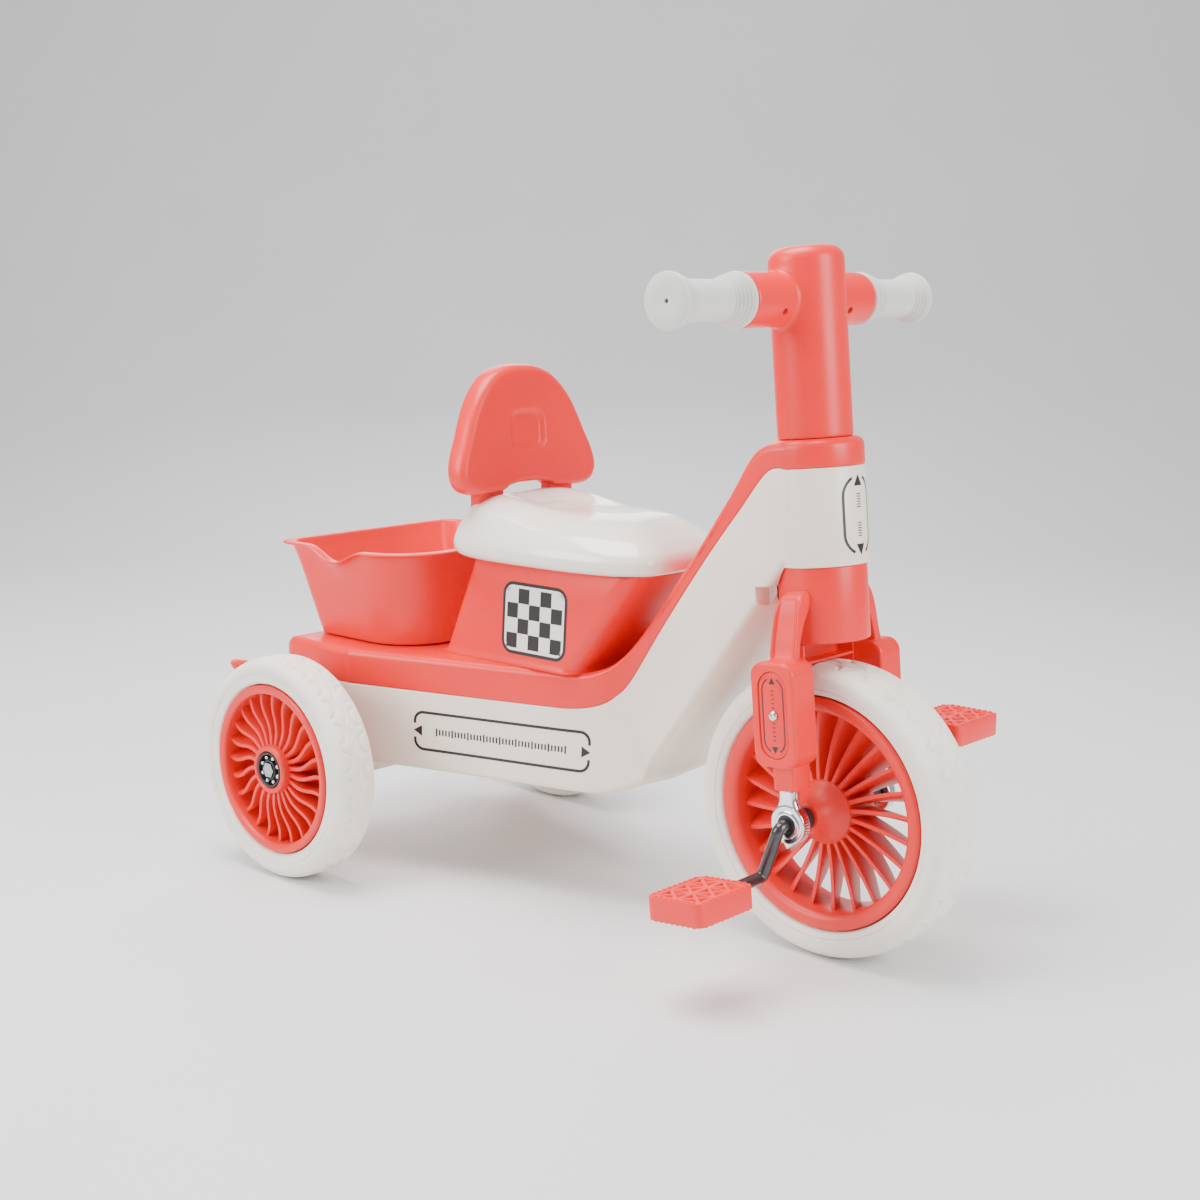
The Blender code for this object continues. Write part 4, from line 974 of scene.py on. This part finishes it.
def make_bearing(name, body, matrix):
    """Dark races and shield with eight bright balls showing between them."""
    outer = [(0.0163, 0.0158), (0.0163, 0.0220), (0.0160, 0.0225), (0.0146, 0.0225)]
    outer += [(0.0142, 0.0221), (0.0140, 0.0195), (0.0140, 0.0158)]
    inner = [(0.0092, 0.0158), (0.0092, 0.0195), (0.0090, 0.0221), (0.0087, 0.0225)]
    inner += [(0.0078, 0.0225), (0.0075, 0.0221), (0.0075, 0.0158)]
    shield = [(0.0141, 0.0158), (0.0141, 0.0186), (0.0091, 0.0186), (0.0091, 0.0158)]
    races = [mesh_object("race", turned(profile, 72, ring=True)) for profile in (outer, inner, shield)]
    dark = joined("rear_bearing_" + name + "_fine", races)
    dark.data.transform(matrix)
    piece(dark, NYLON_BLACK, body, ["rear_bearing_" + name], 40)
    balls, count, ring_radius = [], 8, 0.0116
    for i in range(count):
        angle = 2 * math.pi * (i + 0.5) / count
        ball = bmesh.new()
        bmesh.ops.create_icosphere(ball, subdivisions=3, radius=0.0021)
        where = (ring_radius * math.cos(angle), ring_radius * math.sin(angle), 0.0201)
        balls.append(mesh_object("ball", ball, Matrix.Translation(where)))
    bright = joined("rear_balls_" + name, balls)
    bright.data.transform(matrix)
    piece(bright, CHROME, body, (), 40)


def make_crank():
    """The bent axle: straight through the hub, then down to each pedal and out again."""
    drop = joint_place("pedal_right_spin") - FRONT_AXLE
    drop.y = 0
    end, tip, root, bend = 0.184, 0.0790, 0.0750, 0.0062
    corners = [
        drop + Vector((0, -end, 0)),
        drop + Vector((0, -tip, 0)),
        Vector((0, -root, 0)),
        Vector((0, root, 0)),
        -drop + Vector((0, tip, 0)),
        -drop + Vector((0, end, 0)),
    ]
    points = [corners[0]]
    for before, corner, after in zip(corners, corners[1:], corners[2:]):
        start = corner + (before - corner).normalized() * bend
        stop = corner + (after - corner).normalized() * bend
        for i in range(13):
            share = i / 12
            points.append(start * (1 - share) ** 2 + corner * 2 * share * (1 - share) + stop * share**2)
    points.append(corners[-1])
    curve = bpy.data.curves.new("crank_axle_fine", "CURVE")
    curve.dimensions = "3D"
    curve.bevel_depth = 0.005
    curve.bevel_resolution = 10
    curve.use_fill_caps = True
    line = curve.splines.new("POLY")
    line.points.add(len(points) - 1)
    for point, where in zip(line.points, points):
        point.co = (*(FRONT_AXLE + where), 1)
    crank = bpy.data.objects.new("crank_curve", curve)
    bpy.context.scene.collection.objects.link(crank)
    bm = bmesh.new()
    bm.from_mesh(bpy.data.meshes.new_from_object(crank.evaluated_get(bpy.context.evaluated_depsgraph_get())))
    bmesh.ops.remove_doubles(bm, verts=bm.verts, dist=0.00001)
    bpy.data.objects.remove(crank)
    fine("crank_axle", bm, CRANK_BLACK, "front_wheel")


def pedal_pockets(bays, margin, web):
    """Cutters for the pockets of a pedal: two rows of triangles on each face, their webs making X shapes."""
    length, width, thick = PEDAL_SIZE
    cell = (width - 2 * margin) / bays
    cutter = bmesh.new()
    for face in (-1, 1):
        levels = (face * (thick / 2 - 0.0050), face * (thick / 2 + 0.002))
        for row in (-1, 1):
            for i in range(bays):
                y0 = -width / 2 + margin + cell * i
                y1 = y0 + cell
                x0, x1 = row * web / 2, row * (length / 2 - margin)
                middle = ((x0 + x1) / 2, (y0 + y1) / 2)
                corners = ((x0, y0), (x0, y1), (x1, y1), (x1, y0))
                for k in range(4):
                    triangle = [Vector(c) for c in (corners[k], corners[(k + 1) % 4], middle)]
                    heart = (triangle[0] + triangle[1] + triangle[2]) / 3
                    shrunk = [heart + (corner - heart) * 0.70 for corner in triangle]
                    loft(cutter, [[(p.x, p.y, z) for p in shrunk] for z in levels])
    return cutter


def make_pedals():
    length, width, thick = PEDAL_SIZE
    margin, teeth_per_side = 0.008, 9
    for name, _ in SIDES:
        pedal = "pedal_" + name
        outline = rounded_box(-length / 2, length / 2, width / 2, 0.006, 0.006, 8)
        slab = mesh_object("slab", prism(outline, 0.001 - thick / 2, thick / 2 - 0.001))
        cut(slab, pedal_pockets(3, 0.0055, 0.0016))
        bevelled(slab, 0.0006, 2, 50)
        teeth = bmesh.new()
        for face in (-1, 1):
            for edge in (-1, 1):
                for i in range(teeth_per_side):
                    y = -width / 2 + margin + (width - 2 * margin) * i / (teeth_per_side - 1)
                    add_tooth(teeth, (edge * (length / 2 - 0.0018), y), 0.0012, 0.0015, face)
                    if i < teeth_per_side - 1:
                        x = -length / 2 + margin + (length - 2 * margin) * i / (teeth_per_side - 2)
                        add_tooth(teeth, (x, edge * (width / 2 - 0.0018)), 0.0015, 0.0012, face)
        whole = joined(pedal + "_fine", [slab, mesh_object("teeth", teeth)])
        whole.data.transform(Matrix.Translation(joint_place(pedal + "_spin")) @ turn(-PEDAL_PITCH[name], "Y"))
        piece(whole, PEDAL_CORAL, pedal, [pedal], 35)


def add_tooth(bm, spot, half_x, half_y, face):
    """A short pyramid with a flat top along a pedal's edge."""
    x, y = spot
    top = PEDAL_SIZE[2] / 2
    rings = []
    for height, share in ((top - 0.002, 1.0), (top - 0.0004, 0.95), (top, 0.6)):
        wide, deep = half_x * share, half_y * share
        corners = ((x - wide, y - deep), (x + wide, y - deep), (x + wide, y + deep), (x - wide, y + deep))
        rings.append([(cx, cy, face * height) for cx, cy in corners])
    loft(bm, rings)


# Marks


def film(name, faces, matrix, target, material, body):
    """Thin ink: flat faces in a frame whose Z points out of the surface, dropped onto the target along Z."""
    thickness, lift, longest_edge, above, reach = 0.00015, 0.00005, 0.002, 0.03, 0.2
    bm = bmesh.new()
    known = {}
    for face in faces:
        corners = []
        for x, y in face:
            key = (round(x, 6), round(y, 6))
            if key not in known:
                known[key] = bm.verts.new((x, y, 0))
            corners.append(known[key])
        if len(set(corners)) > 2:
            bm.faces.new(corners)
    for _ in range(5):
        long = [edge for edge in bm.edges if edge.calc_length() > longest_edge]
        if long:
            bmesh.ops.subdivide_edges(bm, edges=long, cuts=1, use_grid_fill=True)
    bmesh.ops.triangulate(bm, faces=bm.faces)
    bvh = BVHTree.FromObject(target, bpy.context.evaluated_depsgraph_get())
    inverse = target.matrix_world.inverted()
    direction = (inverse.to_3x3() @ (matrix.to_3x3() @ Vector((0, 0, -1)))).normalized()
    missed = []
    for vert in bm.verts:
        start = inverse @ (matrix @ Vector((vert.co.x, vert.co.y, above)))
        hit = bvh.ray_cast(start, direction, reach)[0]
        if hit:
            vert.co = hit - direction * lift
        else:
            missed.append(vert)
    bmesh.ops.delete(bm, geom=missed, context="VERTS")
    obj = mesh_object(name, bm)
    solid = obj.modifiers.new("ink", "SOLIDIFY")
    solid.thickness = thickness
    solid.offset = 0.0
    applied(obj)
    piece(obj, material, body, (), 30)


def band(outer, inner):
    count = len(outer)
    return [(outer[i], outer[(i + 1) % count], inner[(i + 1) % count], inner[i]) for i in range(count)]


def between(first, last, runs):
    """The points that divide a line into runs, without its ends."""
    (x0, y0), (x1, y1) = first, last
    return [(x0 + (x1 - x0) * i / runs, y0 + (y1 - y0) * i / runs) for i in range(1, runs)]


def dense_pill(half_width, half_height, steps=14, runs=24):
    """A pill whose straight sides are divided finely enough to follow a bent surface."""
    straight = half_height - half_width
    points = arc((0, straight), half_width, 0, 180, steps)
    points += [(-half_width, straight - 2 * straight * i / runs) for i in range(1, runs)]
    points += arc((0, -straight), half_width, 180, 360, steps)
    points += [(half_width, -straight + 2 * straight * i / runs) for i in range(1, runs)]
    return points


def bar_face(middle, half_x, half_y):
    x, y = middle
    left, right, low, high = x - half_x, x + half_x, y - half_y, y + half_y
    return ((left, low), (right, low), (right, high), (left, high))


def open_band(outer, inner, gap):
    """The outline between two rings, left open within gap of its long axis at both ends."""
    return [face for face in band(outer, inner) if abs(sum(x for x, _ in face) / 4) > gap]


def arrowhead(end, half_height, half_width, length):
    base, tip = end * (half_height - length), end * half_height
    return ((-half_width, base), (half_width, base), (0, tip))


def label(target, name, matrix, half_width, half_height, body, line, arrow, ticks, tick_width=0.0022):
    """A pill outline with an arrowhead in a gap at each end and a scale of plain ticks along the middle."""
    outer = dense_pill(half_width, half_height)
    inner = dense_pill(half_width - line, half_height - line)
    faces = open_band(outer, inner, arrow * 0.75)
    nearest = 0.0062
    room = half_height - line - arrow * 0.9 - 0.004
    for end in (-1, 1):
        faces.append(arrowhead(end, half_height, arrow / 2, arrow * 0.9))
        for i in range(ticks):
            y = end * (nearest + (room - nearest) * i / max(1, ticks - 1))
            faces.append(bar_face((0, y), tick_width / 2, 0.0004))
    film(name, faces, matrix, target, INK_BLACK, body)


def make_shell_labels(shell):
    """The long label low on each side, and the upright one on the front of the head."""
    half_height, half_width, line, radius = 0.0875, 0.0185, 0.0026, 0.010
    outer = dense_box(half_width, half_height, radius)
    inner = dense_box(half_width - line, half_height - line, radius - line)
    faces = open_band(outer, inner, 0.0070)
    faces += [arrowhead(end, half_height, 0.0050, 0.0085) for end in (-1, 1)]
    ticks, reach = 41, 0.064
    for i in range(ticks):
        long = i % 5 == 0
        y = -reach + 2 * reach * i / (ticks - 1)
        faces.append(bar_face((0, y), 0.0036 if long else 0.0026, 0.0008))
    for name, side in SIDES:
        matrix = outward(side, place(-0.305, side * 0.10, 0.1370)) @ turn(90, "Z")
        film("side_label_" + name, faces, matrix, shell, INK_BLACK, "frame")
    forward = Matrix(((0, 0, 1), (1, 0, 0), (0, 1, 0))).to_4x4()
    matrix = STEER @ Matrix.Translation((HEAD_RADIUS, 0, 0.2375)) @ forward
    label(shell, "head_label", matrix, 0.0170, 0.0317, "frame", 0.0023, 0.0100, 6, 0.0050)


def dense_box(half_width, half_height, radius):
    """A long box with round corners, its sides divided finely enough to follow a bent surface."""
    across, along = half_width - radius, half_height - radius
    corners = ((1, 1, 0), (-1, 1, 90), (-1, -1, 180), (1, -1, 270))
    arcs = [arc((cx * across, cy * along), radius, start, start + 90, 8) for cx, cy, start in corners]
    points = []
    for first, second, runs in zip(arcs, arcs[1:] + arcs[:1], (8, 30, 8, 30)):
        points += first + between(first[-1], second[0], runs)
    return points


def make_badge(box):
    """A chequered patch in a round-cornered frame on each side of the seat box."""
    half_x, half_y, radius, inset = 0.039, 0.032, 0.012, 0.0054
    columns, rows = 5, 4
    edge, white, inside = (dense_box(half_x - d, half_y - d, radius - d) for d in (0.0, 0.0030, 0.0056))
    wide, high = 2 * (half_x - inset) / columns, 2 * (half_y - inset) / rows
    dark, light = [], []
    for i in range(columns):
        for j in range(rows):
            middle = (-half_x + inset + wide * (i + 0.5), -half_y + inset + high * (j + 0.5))
            (light if (i + j) % 2 else dark).append(bar_face(middle, wide / 2, high / 2))
    for name, side in SIDES:
        matrix = outward(side, place(-0.278, side * 0.08, 0.2465))
        film("badge_edge_" + name, band(edge, white), matrix, box, INK_BLACK, "frame")
        film("badge_white_" + name, band(white, inside), matrix, box, INK_WHITE, "frame")
        film("badge_dark_" + name, dark, matrix, box, INK_BLACK, "frame")
        film("badge_light_" + name, light, matrix, box, INK_WHITE, "frame")


# Small CAD parts keep their shape and get a finish


def finish_cad(material, names):
    for name in names:
        node = frame["nodes"][name]
        node.data.materials.clear()
        node.data.materials.append(material)


def make_small_parts():
    finish_cad(STEEL, ["handlebar_tube", "steering_tube", "rear_axle"])
    finish_cad(NYLON_BLACK, ["head_bush_lower", "head_bush_upper"])
    for name, _ in SIDES:
        finish_cad(STEEL, ["axle_nut_" + name, "stem_screw_" + name])
        black = ("hanger_bush_", "axle_sleeve_", "axle_bush_", "axle_spacer_")
        finish_cad(NYLON_BLACK, [stem + name for stem in black])


# Stage
PALE = (0.80, 0.80, 0.80)
AZIMUTH = math.radians(42.535)
ELEVATION = math.radians(10.094)
DISTANCE = 1.5881


def make_stage():
    """A pale floor that curves up into a backdrop on the far side of the camera."""
    away = Vector((-math.sin(AZIMUTH), math.cos(AZIMUTH), 0))
    across = Vector((away.y, -away.x, 0))
    profile = [(-5.0, 0.0), (-2.0, 0.0), (0.0, 0.0), (1.5, 0.0)]
    profile += arc((1.8, 1.6), 1.6, -90, 0, 24)[1:] + [(3.4, 2.4), (3.4, 4.5)]
    rings = []
    for sideways in (-6.0, -3.0, 0.0, 3.0, 6.0):
        rings.append([away * far + across * sideways + Vector((0, 0, high)) for far, high in profile])
    obj = mesh_object("floor", loft(bmesh.new(), rings, False, False, False))
    made, tree, shader = shader_of("floor_pale", PALE, 0.5)
    tinted(tree, shader, noise_of(tree, 3.0, 3.0), (PALE, darker(PALE, 0.03)))
    obj.data.materials.append(made)
    obj.data.shade_smooth()
    world = bpy.data.worlds.new("studio")
    world.use_nodes = True
    world.node_tree.nodes["Background"].inputs["Color"].default_value = (0.93, 0.93, 0.95, 1)
    world.node_tree.nodes["Background"].inputs["Strength"].default_value = 0.60
    bpy.context.scene.world = world


def soft_light(name, where, aim, size, energy, colour=(1, 1, 1)):
    lamp = bpy.data.lights.new(name, "AREA")
    lamp.shape = "RECTANGLE"
    lamp.size, lamp.size_y = size
    lamp.energy = energy
    lamp.color = colour
    obj = bpy.data.objects.new(name, lamp)
    obj.location = where
    obj.rotation_euler = (Vector(aim) - Vector(where)).to_track_quat("-Z", "Y").to_euler()
    bpy.context.scene.collection.objects.link(obj)


def make_lights():
    middle = (-0.02, 0, 0.25)
    soft_light("top", (-0.3, -0.3, 2.2), middle, (1.4, 1.4), 84)
    soft_light("right_side", (-0.9, -1.9, 1.2), middle, (1.2, 1.2), 44)
    soft_light("front", (2.0, 0.2, 1.0), middle, (1.0, 1.2), 40)
    soft_light("behind", (-1.6, 1.5, 1.3), middle, (1.2, 1.2), 16)


def make_camera():
    data = bpy.data.cameras.new("camera")
    data.sensor_width = 36
    data.lens = 53.47
    camera = bpy.data.objects.new("camera", data)
    target = place(-0.2578, 0, 0.2593)
    level = Vector((math.sin(AZIMUTH), -math.cos(AZIMUTH), 0))
    back = level * math.cos(ELEVATION) + Vector((0, 0, math.sin(ELEVATION)))
    camera.location = target + back * DISTANCE
    camera.rotation_euler = (-back).to_track_quat("-Z", "Y").to_euler()
    bpy.context.scene.collection.objects.link(camera)
    bpy.context.scene.camera = camera


def main():
    make_camera()
    make_lights()
    make_stage()
    shell = make_lower_shell()
    make_upper_shell()
    box = make_seat_box()
    make_seat()
    make_backrest()
    make_storage_tub()
    make_rear_bumper()
    make_stem()
    make_grips()
    make_fork()
    make_front_wheel()
    make_rear_wheels()
    make_crank()
    make_pedals()
    make_small_parts()
    make_shell_labels(shell)
    make_badge(box)


main()
